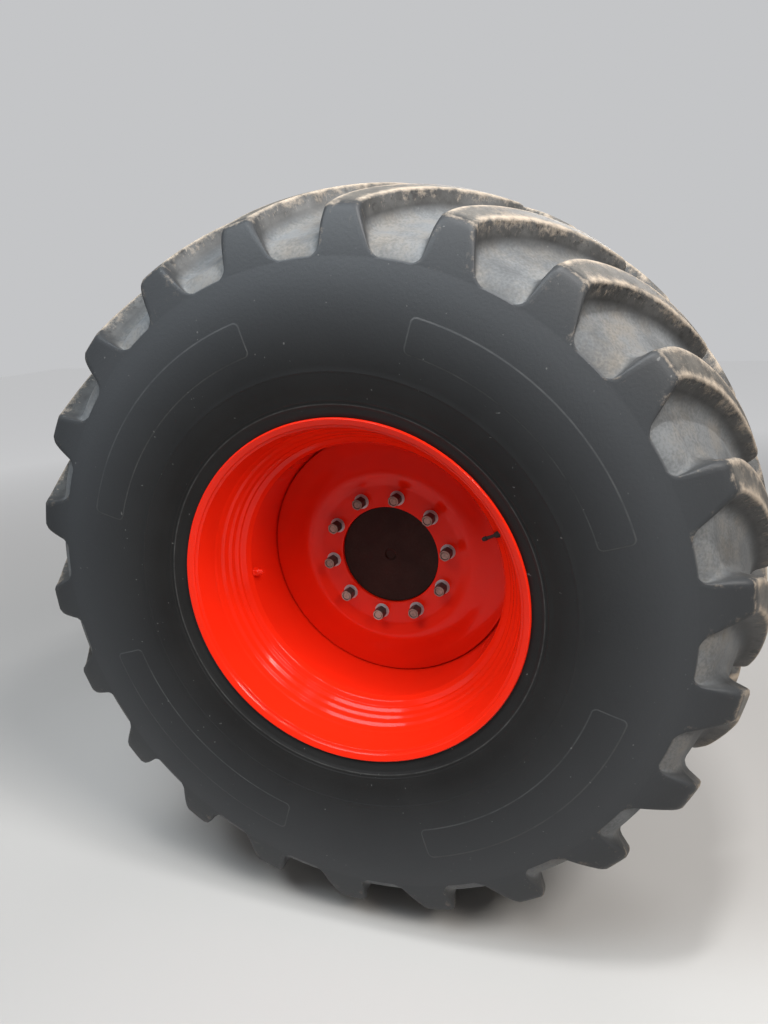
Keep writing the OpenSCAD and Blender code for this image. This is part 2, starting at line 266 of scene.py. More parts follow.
@dataclass(frozen=True)
class Axis:
    """A line that outlines are turned about: a place on it and the way that heights are counted."""

    origin: Point
    along: Point

    def points(self, radius: np.ndarray, height: np.ndarray, angle: np.ndarray) -> np.ndarray:
        """Place points about the axis.

        Args:
            radius: Distances from the axis.
            height: Heights along it.
            angle: Angles about it.

        Returns:
            The origin, plus the height along the axis, plus the radius times the angle's cosine
            and sine along the two directions across it.
        """
        along = unit(np.array(self.along, float))
        upright = [0.0, 0.0, 1.0] if abs(along[2]) < 0.9 else [1.0, 0.0, 0.0]
        first = unit(np.cross(along, upright))
        second = np.cross(along, first)
        radius, height, angle = np.broadcast_arrays(radius, height, angle)
        across = np.cos(angle)[..., None] * first + np.sin(angle)[..., None] * second
        return np.array(self.origin, float) + height[..., None] * along + radius[..., None] * across

    def turned(self, outline: np.ndarray, segments: int) -> np.ndarray:
        """Sweep an outline of radii and heights about the axis, as a grid of points."""
        return self.points(outline[:, :1], outline[:, 1:], round_angles(segments)[None])


@dataclass
class Surface:
    """Points, faces and values at the points of one piece, gathered before they become a mesh."""

    points: list[np.ndarray] = field(default_factory=list)
    quads: list[np.ndarray] = field(default_factory=list)
    values: dict[str, list[np.ndarray]] = field(default_factory=dict)
    count: int = 0

    def add(self, points: np.ndarray, quads: np.ndarray, **values: np.ndarray) -> None:
        """Add loose points, the quads between them and values at them.

        Args:
            points: Points, one row each.
            quads: Four places among the points in each row.
            values: Values at the points by name, zero for a name that isn't given.
        """
        for name in sorted(set(self.values) | set(values)):
            known = self.values.setdefault(name, [np.zeros(self.count)])
            given = np.asarray(values.get(name, 0.0), float)
            known.append(np.broadcast_to(given, (len(points),)))
        self.points.append(points)
        self.quads.append(quads + self.count)
        self.count += len(points)

    def add_grid(
        self, grid: np.ndarray, wrap_rows: bool = False, flip: bool = False, **values: np.ndarray
    ) -> None:
        """Add a grid of points that is closed across its columns.

        Args:
            grid: Rows by columns by three.
            wrap_rows: Whether the last row joins the first.
            flip: Whether the faces turn the other way round.
            values: Values of the same rows and columns.
        """
        rows, columns = grid.shape[:2]
        i = np.arange(rows if wrap_rows else rows - 1)[:, None]
        j = np.arange(columns)[None, :]
        k, m = (i + 1) % rows, (j + 1) % columns
        corners = (i * columns + j, i * columns + m, k * columns + m, k * columns + j)
        quads = np.stack(corners, -1).reshape(-1, 4)
        size = (rows, columns)
        flat = {name: np.broadcast_to(v, size).reshape(-1) for name, v in values.items()}
        self.add(grid.reshape(-1, 3), quads[:, ::-1] if flip else quads, **flat)

    def add_halving(self, fine: np.ndarray, coarse: np.ndarray, flip: bool = False) -> None:
        """Join a closed ring to one of half as many points: three triangles for two fine edges.

        Args:
            fine: The finer ring.
            coarse: The coarser ring, each point beside every second one of the finer ring.
            flip: Whether the faces turn the other way round.
        """
        n = len(coarse)
        j = np.arange(n)
        a, b, c = 2 * j, 2 * j + 1, (2 * j + 2) % (2 * n)
        d, e = 2 * n + j, 2 * n + (j + 1) % n
        triangles = ((a, b, d, d), (b, e, d, d), (b, c, e, e))
        faces = np.concatenate([np.stack(t, -1) for t in triangles])
        self.add(np.concatenate([fine, coarse]), faces[:, ::-1] if flip else faces)

    def build(self, name: str, weld: float = 0.004) -> bpy.types.Object:
        """Weld points that coincide, turn the faces outwards and make the object.

        The faces point outwards when the sum of each face's corner times its area vector is
        positive. A quad with two corners in one place becomes a triangle.

        Args:
            name: The piece's name.
            weld: Distance within which points are one.

        Returns:
            The new object, linked to the scene, with its place in its mesh.
        """
        points, quads = np.concatenate(self.points), np.concatenate(self.quads)
        keys = np.round(points / weld).astype(np.int64)
        _, first, inverse = np.unique(keys, axis=0, return_index=True, return_inverse=True)
        points, quads = points[first] * MM, inverse.reshape(-1)[quads]
        a, b, c, d = (points[quads[:, k]] for k in range(4))
        if np.einsum("ij,ij->", a, np.cross(c - a, d - b)) < 0:
            quads = quads[:, ::-1]
        own = quads != np.roll(quads, 1, axis=1)
        corners = own.sum(1)
        sizes = corners[corners >= 3]
        loops = quads[corners >= 3][own[corners >= 3]]
        mesh = bpy.data.meshes.new(name)
        mesh.vertices.add(len(points))
        mesh.vertices.foreach_set("co", points.astype(np.float32).ravel())
        mesh.loops.add(len(loops))
        mesh.loops.foreach_set("vertex_index", loops.astype(np.int32))
        mesh.polygons.add(len(sizes))
        starts = np.concatenate([[0], np.cumsum(sizes)[:-1]])
        mesh.polygons.foreach_set("loop_start", starts.astype(np.int32))
        mesh.polygons.foreach_set("use_smooth", np.ones(len(sizes), bool))
        for key, parts in self.values.items():
            layer = mesh.attributes.new(key, "FLOAT", "POINT")
            layer.data.foreach_set("value", np.concatenate(parts)[first].astype(np.float32))
        mesh.update(calc_edges=True)
        mesh.validate()
        return add_object(name, mesh)


def closed_piece(name: str, grid: np.ndarray, **values: np.ndarray) -> bpy.types.Object:
    """Build a piece from one grid that is closed both ways.

    Args:
        name: The piece's name.
        grid: Rows by columns by three.
        values: Values at its points by name.

    Returns:
        The piece.
    """
    surface = Surface()
    surface.add_grid(grid, wrap_rows=True, **values)
    return surface.build(name)


# Shader tools


class Shader:
    """A node tree with short ways to add and link nodes."""

    def __init__(self, tree: bpy.types.NodeTree) -> None:
        """Keep the tree."""
        self.tree = tree

    def put(self, socket: Socket, value: object) -> None:
        """Link a socket to an input, or set the input's own value.

        Args:
            socket: The input.
            value: A socket, a number or a colour.
        """
        if isinstance(value, Socket):
            self.tree.links.new(value, socket)
        else:
            socket.default_value = value

    def node(self, kind: str, values: dict | None = None, **settings: object) -> bpy.types.Node:
        """Add a node.

        Args:
            kind: The node's type name.
            values: Numbers, colours or sockets for its inputs, by name or place.
            settings: Settings of the node itself, made before its inputs.

        Returns:
            The new node.
        """
        made = self.tree.nodes.new(kind)
        for key, value in settings.items():
            setattr(made, key, value)
        for key, value in (values or {}).items():
            self.put(made.inputs[key], value)
        return made

    def group(self, tree: bpy.types.NodeTree, **values: object) -> Sockets:
        """Place a shared group with values for its inputs, and give its outputs."""
        return self.node("ShaderNodeGroup", values, node_tree=tree).outputs

    def place(self) -> Socket:
        """Read the place on the piece."""
        return self.node("ShaderNodeTexCoord").outputs["Object"]

    def value_at(self, name: str) -> Socket:
        """Read a value that the mesh holds at its points."""
        return self.node("ShaderNodeAttribute", attribute_name=name).outputs["Fac"]

    def math(self, operation: str, a: object, b: object = 0.0) -> Socket:
        """Work out an operation on two numbers."""
        return self.node("ShaderNodeMath", {0: a, 1: b}, operation=operation).outputs[0]

    def product(self, *factors: object) -> Socket:
        """Multiply numbers.

        Args:
            factors: Numbers or sockets.

        Returns:
            The product, held between 0 and 1.
        """
        result = factors[0]
        for factor in factors[1:]:
            result = self.math("MULTIPLY", result, factor)
        return self.node("ShaderNodeClamp", {0: result}).outputs[0]

    def noise(
        self, place: Socket, scale: object, detail: float = 4.0, rough: float = 0.55
    ) -> Socket:
        """Add noise over a place, of a scale per metre."""
        values = {"Vector": place, "Scale": scale, "Detail": detail, "Roughness": rough}
        return self.node("ShaderNodeTexNoise", values).outputs[0]

    def span(
        self, value: object, low: float, high: float, first: object = 0.0, last: object = 1.0
    ) -> Socket:
        """Map a value from the range low to high to the range first to last, held at the ends."""
        values = {0: value, 1: low, 2: high, 3: first, 4: last}
        return self.node("ShaderNodeMapRange", values, clamp=True).outputs[0]

    def blend(self, share: object, a: object, b: object) -> Socket:
        """Mix two colours.

        Args:
            share: Share of the second colour.
            a: The first colour.
            b: The second colour.

        Returns:
            The mixed colour.
        """
        made = self.node("ShaderNodeMix", data_type="RGBA", clamp_factor=True)
        for place, value in ((0, share), (6, a), (7, b)):
            self.put(made.inputs[place], value)
        return made.outputs[2]

    def bump(self, height: Socket, distance: float, strength: float) -> Socket:
        """Turn a height into a normal."""
        values = {"Height": height, "Distance": distance, "Strength": strength}
        return self.node("ShaderNodeBump", values).outputs[0]

    def parts(self, place: Socket) -> Sockets:
        """Split a place into its X, Y and Z."""
        return self.node("ShaderNodeSeparateXYZ", {0: place}).outputs

    def length(self, vector: Socket) -> Socket:
        """Measure a vector."""
        return self.node("ShaderNodeVectorMath", {0: vector}, operation="LENGTH").outputs["Value"]

    def radius_about_y(self, place: Socket) -> Socket:
        """Work out the distance from the wheel's axis.

        Args:
            place: The place on the piece.

        Returns:
            The length of the place without its Y.
        """
        across = {0: place, 1: (1.0, 0.0, 1.0)}
        flat = self.node("ShaderNodeVectorMath", across, operation="MULTIPLY")
        return self.length(flat.outputs[0])

    def angle_about_y(self, parts: Sockets) -> Socket:
        """Work out the angle of a place's parts about the wheel's axis, above forward."""
        return self.math("ARCTAN2", parts["Z"], parts["X"])

    def unrolled(self, place: Socket, radial: float, tread_r: float = 0.9) -> Socket:
        """Unroll a place on the wheel.

        Args:
            place: The place on the piece.
            radial: Share of the radius that counts, small for streaks along it.
            tread_r: Radius at which the arc's length is right.

        Returns:
            The arc's length, the place along the axis and the share of the radius.
        """
        parts = self.parts(place)
        turn = self.math("MULTIPLY", self.angle_about_y(parts), tread_r)
        out = self.math("MULTIPLY", self.radius_about_y(place), radial)
        values = {0: turn, 1: parts["Y"], 2: out}
        return self.node("ShaderNodeCombineXYZ", values).outputs[0]

    def arc_panels(
        self, place: Socket, count: int, middle_r: float, half: Pair, corner: float
    ) -> Socket:
        """Measure how far a point lies outside the nearest of equal, rounded panels on a ring.

        The distance is the root of the sum of the squares by which the point lies past half the
        panel's length and half its width, less the corner's radius.

        Args:
            place: Where the point is.
            count: How many panels there are.
            middle_r: Radius of their middle.
            half: Half their length and half their width, without the rounding.
            corner: Radius of the rounding.

        Returns:
            The distance, which is negative inside.
        """
        angle = self.angle_about_y(self.parts(place))
        turns = self.math("MULTIPLY", angle, count / math.tau)
        part = self.math("SUBTRACT", self.math("FRACT", turns), 0.5)
        along = self.math("MULTIPLY", part, math.tau / count * middle_r)
        across = self.math("SUBTRACT", self.radius_about_y(place), middle_r)
        squares = []
        for value, size in zip((along, across), half):
            past = self.math("SUBTRACT", self.math("ABSOLUTE", value), size)
            past = self.math("MAXIMUM", past, 0.0)
            squares.append(self.math("MULTIPLY", past, past))
        return self.math("SUBTRACT", self.math("SQRT", self.math("ADD", *squares)), corner)


def start_material(name: str) -> tuple[bpy.types.Material, Shader, Sockets]:
    """Start a material.

    Args:
        name: The material's name.

    Returns:
        The material, its shader and the inputs of its surface.
    """
    material = bpy.data.materials.new(name)
    material.use_nodes = True
    surface = next(n for n in material.node_tree.nodes if n.type == "BSDF_PRINCIPLED")
    return material, Shader(material.node_tree), surface.inputs


class SharedGroups:
    """Node groups that more than one finish places, each built once."""

    def __init__(self) -> None:
        """Build the groups."""
        self.dust = self._dust()
        self.wear_and_highlight = self._wear_and_highlight()
        self.grain = self._grain()

    @staticmethod
    def _start(
        name: str, inputs: dict[str, float | Colour], outputs: dict[str, float | Colour]
    ) -> tuple[Shader, Sockets, Sockets]:
        """Start a group.

        Args:
            name: The group's name.
            inputs: Names of the inputs, with a number or a colour that each holds by itself.
            outputs: Names of the outputs, with a number or a colour to tell what they are.

        Returns:
            The group's shader, the sockets of its inputs and those of its outputs.
        """
        tree = bpy.data.node_groups.new(name, "ShaderNodeTree")
        for way, sockets in (("INPUT", inputs), ("OUTPUT", outputs)):
            for label, value in sockets.items():
                kind = "NodeSocketColor" if isinstance(value, tuple) else "NodeSocketFloat"
                made = tree.interface.new_socket(name=label, in_out=way, socket_type=kind)
                if way == "INPUT":
                    made.default_value = value
        shader = Shader(tree)
        return shader, shader.node("NodeGroupInput").outputs, shader.node("NodeGroupOutput").inputs

    def _dust(self) -> bpy.types.NodeTree:
        """Build the group that lays dust on a colour, in patches and specks.

        Returns:
            The group, with the colour and the share of dust as its outputs.
        """
        grey, tan = (0.5, 0.5, 0.5, 1.0), (0.4, 0.33, 0.26, 1.0)
        inputs = {"Base": grey, "Dust": tan, "Amount": 0.5, "Patches": 9.0, "Specks": 160.0}
        shader, given, out = self._start("dust_layer", inputs, {"Color": grey, "Mask": 0.0})
        place = shader.place()
        patches = shader.noise(place, given["Patches"], 5.0)
        specks = shader.noise(place, given["Specks"], 3.0)
        mask = shader.product(
            shader.span(patches, 0.30, 0.68, first=0.45, last=1.25),
            shader.span(specks, 0.35, 0.65, first=0.72, last=1.18),
            given["Amount"],
        )
        shader.put(out["Color"], shader.blend(mask, given["Base"], given["Dust"]))
        shader.put(out["Mask"], mask)
        return shader.tree

    def _wear_and_highlight(self) -> bpy.types.NodeTree:
        """Build the group that scuffs a colour along edges, as far as noise lets it through.

        On the tyre the scuffs are partly a painted highlight.

        Returns:
            The group, with the colour and the share of scuffs and painted highlight as its outputs.
        """
        grey, tan = (0.5, 0.5, 0.5, 1.0), (0.4, 0.33, 0.26, 1.0)
        inputs = {"Base": grey, "Worn_and_lit": tan, "Edge": 0.0, "Amount": 1.0, "Scale": 48.0}
        shader, given, out = self._start("edge_wear_and_highlight", inputs, {"Color": grey, "Mask": 0.0})
        place = shader.unrolled(shader.place(), 0.85)
        broken = shader.span(shader.noise(place, given["Scale"], 8.0, 0.78), 0.34, 0.66)
        wide = shader.noise(shader.place(), 9.0, 3.0)
        wide = shader.span(wide, 0.35, 0.65, first=0.0, last=0.30)
        reach = shader.math("ADD", shader.math("MULTIPLY", broken, 0.75), wide)
        reach = shader.span(shader.math("ADD", given["Edge"], reach), 0.88, 1.6)
        mask = shader.product(reach, shader.span(given["Edge"], 0.02, 0.3), given["Amount"])
        shader.put(out["Color"], shader.blend(mask, given["Base"], given["Worn_and_lit"]))
        shader.put(out["Mask"], mask)
        return shader.tree

    def _grain(self) -> bpy.types.NodeTree:
        """Build the group that gives a fine height.

        Returns:
            The group, whose height is noise at a scale and at five times the scale.
        """
        inputs = {"Scale": 300.0, "Fine": 0.4}
        shader, given, out = self._start("fine_grain", inputs, {"Height": 0.0})
        place = shader.place()
        fine = shader.noise(place, shader.math("MULTIPLY", given["Scale"], 5.0), 2.0)
        fine = shader.math("MULTIPLY", fine, given["Fine"])
        coarse = shader.noise(place, given["Scale"])
        shader.put(out["Height"], shader.math("ADD", coarse, fine))
        return shader.tree


# Finishes


@dataclass(frozen=True)
class Finish:
    """What all finishes share: a name, and the making of a material."""

    name: str

    def material(self, groups: SharedGroups) -> bpy.types.Material:
        """Build the material.

        Args:
            groups: The shared node groups.

        Returns:
            The material, with the finish's nodes on its surface.
        """
        material, shader, surface = start_material(self.name)
        self.fill(shader, surface, groups)
        return material

    def fill(self, shader: Shader, surface: Sockets, groups: SharedGroups) -> None:
        """Put the finish's nodes and numbers on the inputs of a surface.

        Args:
            shader: The material's shader.
            surface: The inputs of its surface.
            groups: The shared node groups.
        """
        raise NotImplementedError


@dataclass(frozen=True)
class Rubber(Finish):
    """Tyre rubber: satin sidewalls, dusty voids, dark flanks and tan scuffs on the lugs' edges.

    The mesh holds relief, the share of a lug's height, edge, which is 1 along the edges of a lug's
    top, and crown, which is 1 on the tread and 0 on the sidewall. The tan on the edges is partly a
    painted highlight, and the haze on the sidewalls partly a painted sheen of the sky.
    """

    deep: Colour = (0.0060, 0.0057, 0.0056, 1.0)
    pale: Colour = (0.0115, 0.0112, 0.0110, 1.0)
    haze_and_sheen: Colour = (0.047, 0.050, 0.054, 1.0)
    flank_dark: Colour = (0.034, 0.033, 0.032, 1.0)
    flank_grey: Colour = (0.085, 0.084, 0.082, 1.0)
    top_grey: Colour = (0.120, 0.110, 0.097, 1.0)
    void_dust: Colour = (0.150, 0.154, 0.157, 1.0)
    void_earth: Colour = (0.190, 0.165, 0.135, 1.0)
    scuff_and_highlight: Colour = (0.40, 0.33, 0.26, 1.0)
    scuff_and_highlight_amount: float = 0.9
    speck: Colour = (0.17, 0.17, 0.165, 1.0)
    ring_r: float = 0.466
    panels: int = 4
    panel_r: float = 0.640
    panel_half: Pair = (0.30, 0.026)
    panel_corner: float = 0.012
    panel_rise: float = 2.2
    grain_scale: float = 140.0
    relief_depth: float = 0.0008
    clean_rough: float = 0.50
    dusty_rough: float = 0.92
    specular: float = 0.26

    def fill(self, shader: Shader, surface: Sockets, groups: SharedGroups) -> None:
        """Colour sidewall and lugs, add dust, scuffs and painted edge highlight, emboss the panels.

        Args:
            shader: The material's shader.
            surface: The inputs of its surface.
            groups: The shared node groups.
        """
        place, edge = shader.place(), shader.value_at("edge")
        size = (self.panels, self.panel_r, self.panel_half, self.panel_corner)
        outside = shader.arc_panels(place, *size)
        crown, relief = shader.value_at("crown"), shader.value_at("relief")
        raised = shader.product(crown, shader.span(relief, 0.15, 0.5))
        side = self._side(shader, place, outside)
        base = shader.blend(raised, side, self._flank(shader, place, edge))
        patchy = shader.noise(place, 22.0, 5.0, 0.65)
        patchy = shader.span(patchy, 0.35, 0.65, first=0.35, last=1.0)
        top = shader.product(crown, shader.span(relief, 0.92, 1.0), patchy)
        base = shader.blend(top, base, self.top_grey)

        low = shader.product(shader.span(relief, 0.0, 0.42, first=1.0, last=0.0), crown)
        earth = shader.noise(place, 8.0, 5.0, 0.7)
        earth = shader.span(earth, 0.45, 0.75, first=0.0, last=0.8)
        soil = shader.blend(earth, self.void_dust, self.void_earth)
        dust = shader.group(groups.dust, Base=base, Dust=soil, Amount=low, Patches=7.0)
        # Tan along the lugs' edges: partly scuffs, partly a painted highlight.
        amounts = {"Worn_and_lit": self.scuff_and_highlight, "Edge": edge, "Amount": self.scuff_and_highlight_amount}
        wear_and_highlight = shader.group(groups.wear_and_highlight, Base=dust["Color"], **amounts)
        scratches = shader.noise(shader.unrolled(place, 0.3), 150.0, 4.0, 0.75)
        near_edge = shader.span(edge, 0.0, 0.35)
        scratched = shader.product(shader.span(scratches, 0.62, 0.70), raised, near_edge, 0.6)
        shader.put(surface["Base Color"], shader.blend(scratched, wear_and_highlight["Color"], self.scuff_and_highlight))

        dusty = shader.math("MAXIMUM", dust["Mask"], wear_and_highlight["Mask"])
        rough = shader.span(dusty, 0.0, 1.0, first=self.clean_rough, last=self.dusty_rough)
        shader.put(surface["Roughness"], rough)
        grain = shader.group(groups.grain, Scale=self.grain_scale)["Height"]
        torn = shader.math("MULTIPLY", wear_and_highlight["Mask"], shader.math("MULTIPLY", scratches, 4.0))
        panel = shader.span(outside, -0.002, 0.002, first=self.panel_rise, last=0.0)
        height = shader.math("ADD", shader.math("ADD", grain, torn), panel)
        shader.put(surface["Normal"], shader.bump(height, self.relief_depth, 0.5))
        surface["Specular IOR Level"].default_value = self.specular

    def _side(self, shader: Shader, place: Socket, outside: Socket) -> Socket:
        """Colour the sidewall: mottled black with haze, specks, a ring and the panels' outlines.

        The haze is partly a painted sheen of the sky, and the pale ring and outlines partly a
        painted highlight.

        Args:
            shader: The material's shader.
            place: The place on the tyre.
            outside: Distance outside the nearest panel.

        Returns:
            The colour.
        """
        tone = shader.span(shader.noise(place, 4.0, 4.0), 0.32, 0.68)
        base = shader.blend(tone, self.deep, self.pale)
        # A bluish band over the bulge, the same all round: partly dust haze, partly a painted sheen
        # of the sky.
        out = shader.radius_about_y(place)
        fading = shader.span(out, 0.76, 0.84, first=0.8, last=0.6)
        haze_and_sheen_share = shader.product(shader.span(out, 0.50, 0.74), fading)
        base = shader.blend(haze_and_sheen_share, base, self.haze_and_sheen)
        dots = shader.span(shader.noise(place, 95.0, 1.0), 0.77, 0.80)
        base = shader.blend(shader.product(dots, 0.5), base, self.speck)
        # Pale broken lines on the raised ring and the panels' outlines: partly dust, partly a
        # painted highlight of their edges.
        broken = shader.span(shader.noise(place, 18.0, 6.0, 0.7), 0.30, 0.65)
        ring = shader.math("SUBTRACT", out, self.ring_r)
        for distance, reach, share in ((ring, 0.0020, 0.3), (outside, 0.0022, 0.22)):
            distance = shader.math("ABSOLUTE", distance)
            line = shader.span(distance, 0.0006, reach, first=1.0, last=0.0)
            base = shader.blend(shader.product(line, broken, share), base, self.speck)
        return base

    def _flank(self, shader: Shader, place: Socket, edge: Socket) -> Socket:
        """Colour the lugs' flanks: dark and grey by turns, with black pits near the edges.

        Args:
            shader: The material's shader.
            place: The place on the tyre.
            edge: The nearness of an edge.

        Returns:
            The colour.
        """
        worn = shader.span(shader.noise(place, 11.0, 6.0, 0.65), 0.35, 0.65)
        pits = shader.span(shader.noise(place, 75.0, 3.0, 0.6), 0.56, 0.64)
        pits = shader.product(pits, shader.span(edge, 0.02, 0.5), 0.8)
        return shader.blend(pits, shader.blend(worn, self.flank_dark, self.flank_grey), self.pale)


@dataclass(frozen=True)
class GlossPaint(Finish):
    """Glossy paint on steel with a faint orange peel and a thin veil of dust."""

    colour: Colour
    dust: Colour = (0.34, 0.10, 0.06, 1.0)
    dust_amount: float = 0.02
    roughness: float = 0.15
    peel_depth: float = 0.0004
    specular: float = 0.12
    coat: float = 0.15
    coat_rough: float = 0.03

    def fill(self, shader: Shader, surface: Sockets, groups: SharedGroups) -> None:
        """Vary the paint a little, veil it with dust and lay a clear coat over it.

        Args:
            shader: The material's shader.
            surface: The inputs of its surface.
            groups: The shared node groups.
        """
        place = shader.place()
        deep = tuple(0.94 * c for c in self.colour[:3]) + (1.0,)
        base = shader.blend(shader.span(shader.noise(place, 3.0), 0.3, 0.7), self.colour, deep)
        amounts = {"Dust": self.dust, "Amount": self.dust_amount, "Patches": 6.0}
        dust = shader.group(groups.dust, Base=base, **amounts)
        low, high = self.roughness - 0.04, self.roughness + 0.04
        sheen = shader.span(shader.noise(place, 14.0), 0.3, 0.7, first=low, last=high)
        rough = shader.math("ADD", sheen, shader.math("MULTIPLY", dust["Mask"], 0.8))
        peel = shader.noise(place, 55.0, 2.0)
        shader.put(surface["Base Color"], dust["Color"])
        shader.put(surface["Roughness"], rough)
        shader.put(surface["Normal"], shader.bump(peel, self.peel_depth, 0.22))
        surface["Specular IOR Level"].default_value = self.specular
        surface["Coat Weight"].default_value = self.coat
        surface["Coat Roughness"].default_value = self.coat_rough


@dataclass(frozen=True)
class Coated(Finish):
    """Dull paint, coating or bare metal with grain and dust.

    The mesh may hold face, which is 1 on end faces that take more dust. On the nuts and studs the
    paler end faces are partly painted light, and the dark flanks painted shade. Past bare_y toward
    +Y the coating gives way to bare metal.
    """

    colour: Colour
    dust: Colour = (0.33, 0.25, 0.19, 1.0)
    dust_amount: float = 0.04
    face_dust_and_light: float = 0.0
    roughness: float = 0.5
    grain: float = 260.0
    grain_depth: float = 0.0001
    metallic: float = 0.0
    specular: float = 0.5
    bare_y: float | None = None
    bare: Colour = (0.34, 0.335, 0.33, 1.0)
    bare_metallic: float = 0.8

    def fill(self, shader: Shader, surface: Sockets, groups: SharedGroups) -> None:
        """Mottle the colour, lay dust over it, bare the machined face and add the grain.

        Args:
            shader: The material's shader.
            surface: The inputs of its surface.
            groups: The shared node groups.
        """
        place = shader.place()
        deep = tuple(0.7 * c for c in self.colour[:3]) + (1.0,)
        tone = shader.span(shader.noise(place, 16.0, 5.0), 0.3, 0.7)
        base = shader.blend(tone, deep, self.colour)
        # End faces get more of the dust colour, which on the nuts and studs is partly painted
        # light.
        most = self.dust_amount + self.face_dust_and_light
        amount = shader.span(shader.value_at("face"), 0.0, 1.0, first=self.dust_amount, last=most)
        dust = shader.group(groups.dust, Base=base, Dust=self.dust, Amount=amount, Patches=12.0)
        colour = dust["Color"]
        surface["Metallic"].default_value = self.metallic
        if self.bare_y is not None:
            bare = shader.span(shader.parts(place)["Y"], self.bare_y - 0.0005, self.bare_y)
            colour = shader.blend(bare, colour, self.bare)
            shader.put(surface["Metallic"], shader.product(bare, self.bare_metallic))
        low, high = self.roughness - 0.05, self.roughness + 0.25
        grain = shader.group(groups.grain, Scale=self.grain)["Height"]
        shader.put(surface["Base Color"], colour)
        shader.put(surface["Roughness"], shader.span(dust["Mask"], 0.0, 1.0, low, high))
        shader.put(surface["Normal"], shader.bump(grain, self.grain_depth, 0.6))
        surface["Specular IOR Level"].default_value = self.specular


FINISHES: dict[Slot, Finish] = {
    Slot.TYRE: Rubber("tyre_rubber"),
    Slot.PAINT: GlossPaint("gloss_red_paint", (0.77, 0.017, 0.0035, 1.0)),
    Slot.SEAL: Coated(
        "black_rubber", (0.009, 0.009, 0.009, 1.0), roughness=0.6, grain_depth=0.0003, specular=0.25
    ),
    Slot.CAP: Coated(
        "black_plastic", (0.010, 0.010, 0.010, 1.0), roughness=0.4, grain=400.0, specular=0.3
    ),
    Slot.HUB: Coated(
        "hub_coating",
        (0.021, 0.0065, 0.0048, 1.0),
        dust_amount=0.03,
        roughness=0.42,
        grain=90.0,
        grain_depth=0.0004,
        specular=0.12,
    ),
    Slot.CAST: Coated(
        "cast_iron_paint",
        (0.050, 0.045, 0.042, 1.0),
        dust_amount=0.22,
        grain=110.0,
        grain_depth=0.0009,
        bare_y=-0.0006,
    ),
    # Dark flanks and pale end faces: partly dust, partly painted shade on the flanks and painted
    # light on the faces.
    Slot.NUT: Coated(
        "dusty_steel",
        (0.040, 0.034, 0.031, 1.0),
        dust=(0.40, 0.32, 0.27, 1.0),
        dust_amount=0.05,
        face_dust_and_light=0.85,
        grain=300.0,
        grain_depth=0.0002,
        metallic=0.15,
        specular=0.3,
    ),
    Slot.ZINC: Coated("zinc_plate", (0.58, 0.59, 0.60, 1.0), roughness=0.34, metallic=0.35),
    Slot.BRASS: Coated(
        "dull_brass", (0.55, 0.40, 0.18, 1.0), dust_amount=0.2, roughness=0.38, metallic=1.0
    ),
    Slot.STEEL: Coated(
        "ground_steel",
        (0.55, 0.55, 0.56, 1.0),
        dust_amount=0.08,
        roughness=0.28,
        grain=500.0,
        metallic=1.0,
    ),
}
FRAME_SLOTS: dict[str, Slot] = {
    "final_drive_housing": Slot.CAST,
    "shaft_seal": Slot.SEAL,
    "drain_plug": Slot.ZINC,
    "level_plug": Slot.ZINC,
    "breather": Slot.BRASS,
    "input_shaft": Slot.STEEL,
}


class Dresser:
    """Dresses pieces in the finishes, each built when it is first asked for."""

    def __init__(self) -> None:
        """Build the shared groups."""
        self.groups = SharedGroups()
        self.made: dict[Slot, bpy.types.Material] = {}

    def coat(self, mesh: bpy.types.Mesh, slot: Slot) -> None:
        """Give a mesh a finish.

        Args:
            mesh: The mesh.
            slot: The material slot that the finish belongs to.
        """
        if slot not in self.made:
            self.made[slot] = FINISHES[slot].material(self.groups)
        mesh.materials.clear()
        mesh.materials.append(self.made[slot])

    def dress(self, piece: bpy.types.Object, slot: Slot, node: str) -> None:
        """Give a piece of the wheel its finish, and let it ride and stand for a node.

        Args:
            piece: The piece.
            slot: Its material slot.
            node: The node of the frame that it replaces.
        """
        self.coat(piece.data, slot)
        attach(piece, WHEEL_BODY)
        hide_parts(node)
        LOG.info("%s: %d faces, %s", piece.name, len(piece.data.polygons), slot.value)


# The wheel's pieces


@dataclass(frozen=True)
class WheelFrame:
    """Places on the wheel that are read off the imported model."""

    mid_y: float
    tyre_r: float
    tyre_half: float
    rim_half: float
    disc_edge_r: float
    disc_back_y: float
    hub_rear_y: float

    @classmethod
    def read(cls) -> "WheelFrame":
        """Read the places off the boxes of the nodes.

        Returns:
            The places.
        """
        nodes = ("tyre", "rim", "wheel_disc", "hub")
        tyre, rim, disc, hub = (np.array(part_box(node)) / MM for node in nodes)
        return cls(
            mid_y=rim[:, 1].mean(),
            tyre_r=min(-tyre[0, 0], tyre[1, 0], -tyre[0, 2], tyre[1, 2]),
            tyre_half=np.ptp(tyre[:, 1]) / 2,
            rim_half=np.ptp(rim[:, 1]) / 2,
            disc_edge_r=disc[1, 0],
            disc_back_y=disc[1, 1],
            hub_rear_y=hub[1, 1],
        )

    def points(self, radius: np.ndarray, offset: np.ndarray, angle: np.ndarray) -> np.ndarray:
        """Place points on the wheel.

        Args:
            radius: Distances from the axle.
            offset: Offsets from the middle plane toward the outboard side.
            angle: Angles above the forward direction.

        Returns:
            The radius times the angle's cosine and sine, and the middle plane less the offset.
        """
        radius, offset, angle = np.broadcast_arrays(radius, offset, angle)
        x, z = radius * np.cos(angle), radius * np.sin(angle)
        return np.stack([x, self.mid_y - offset, z], axis=-1)


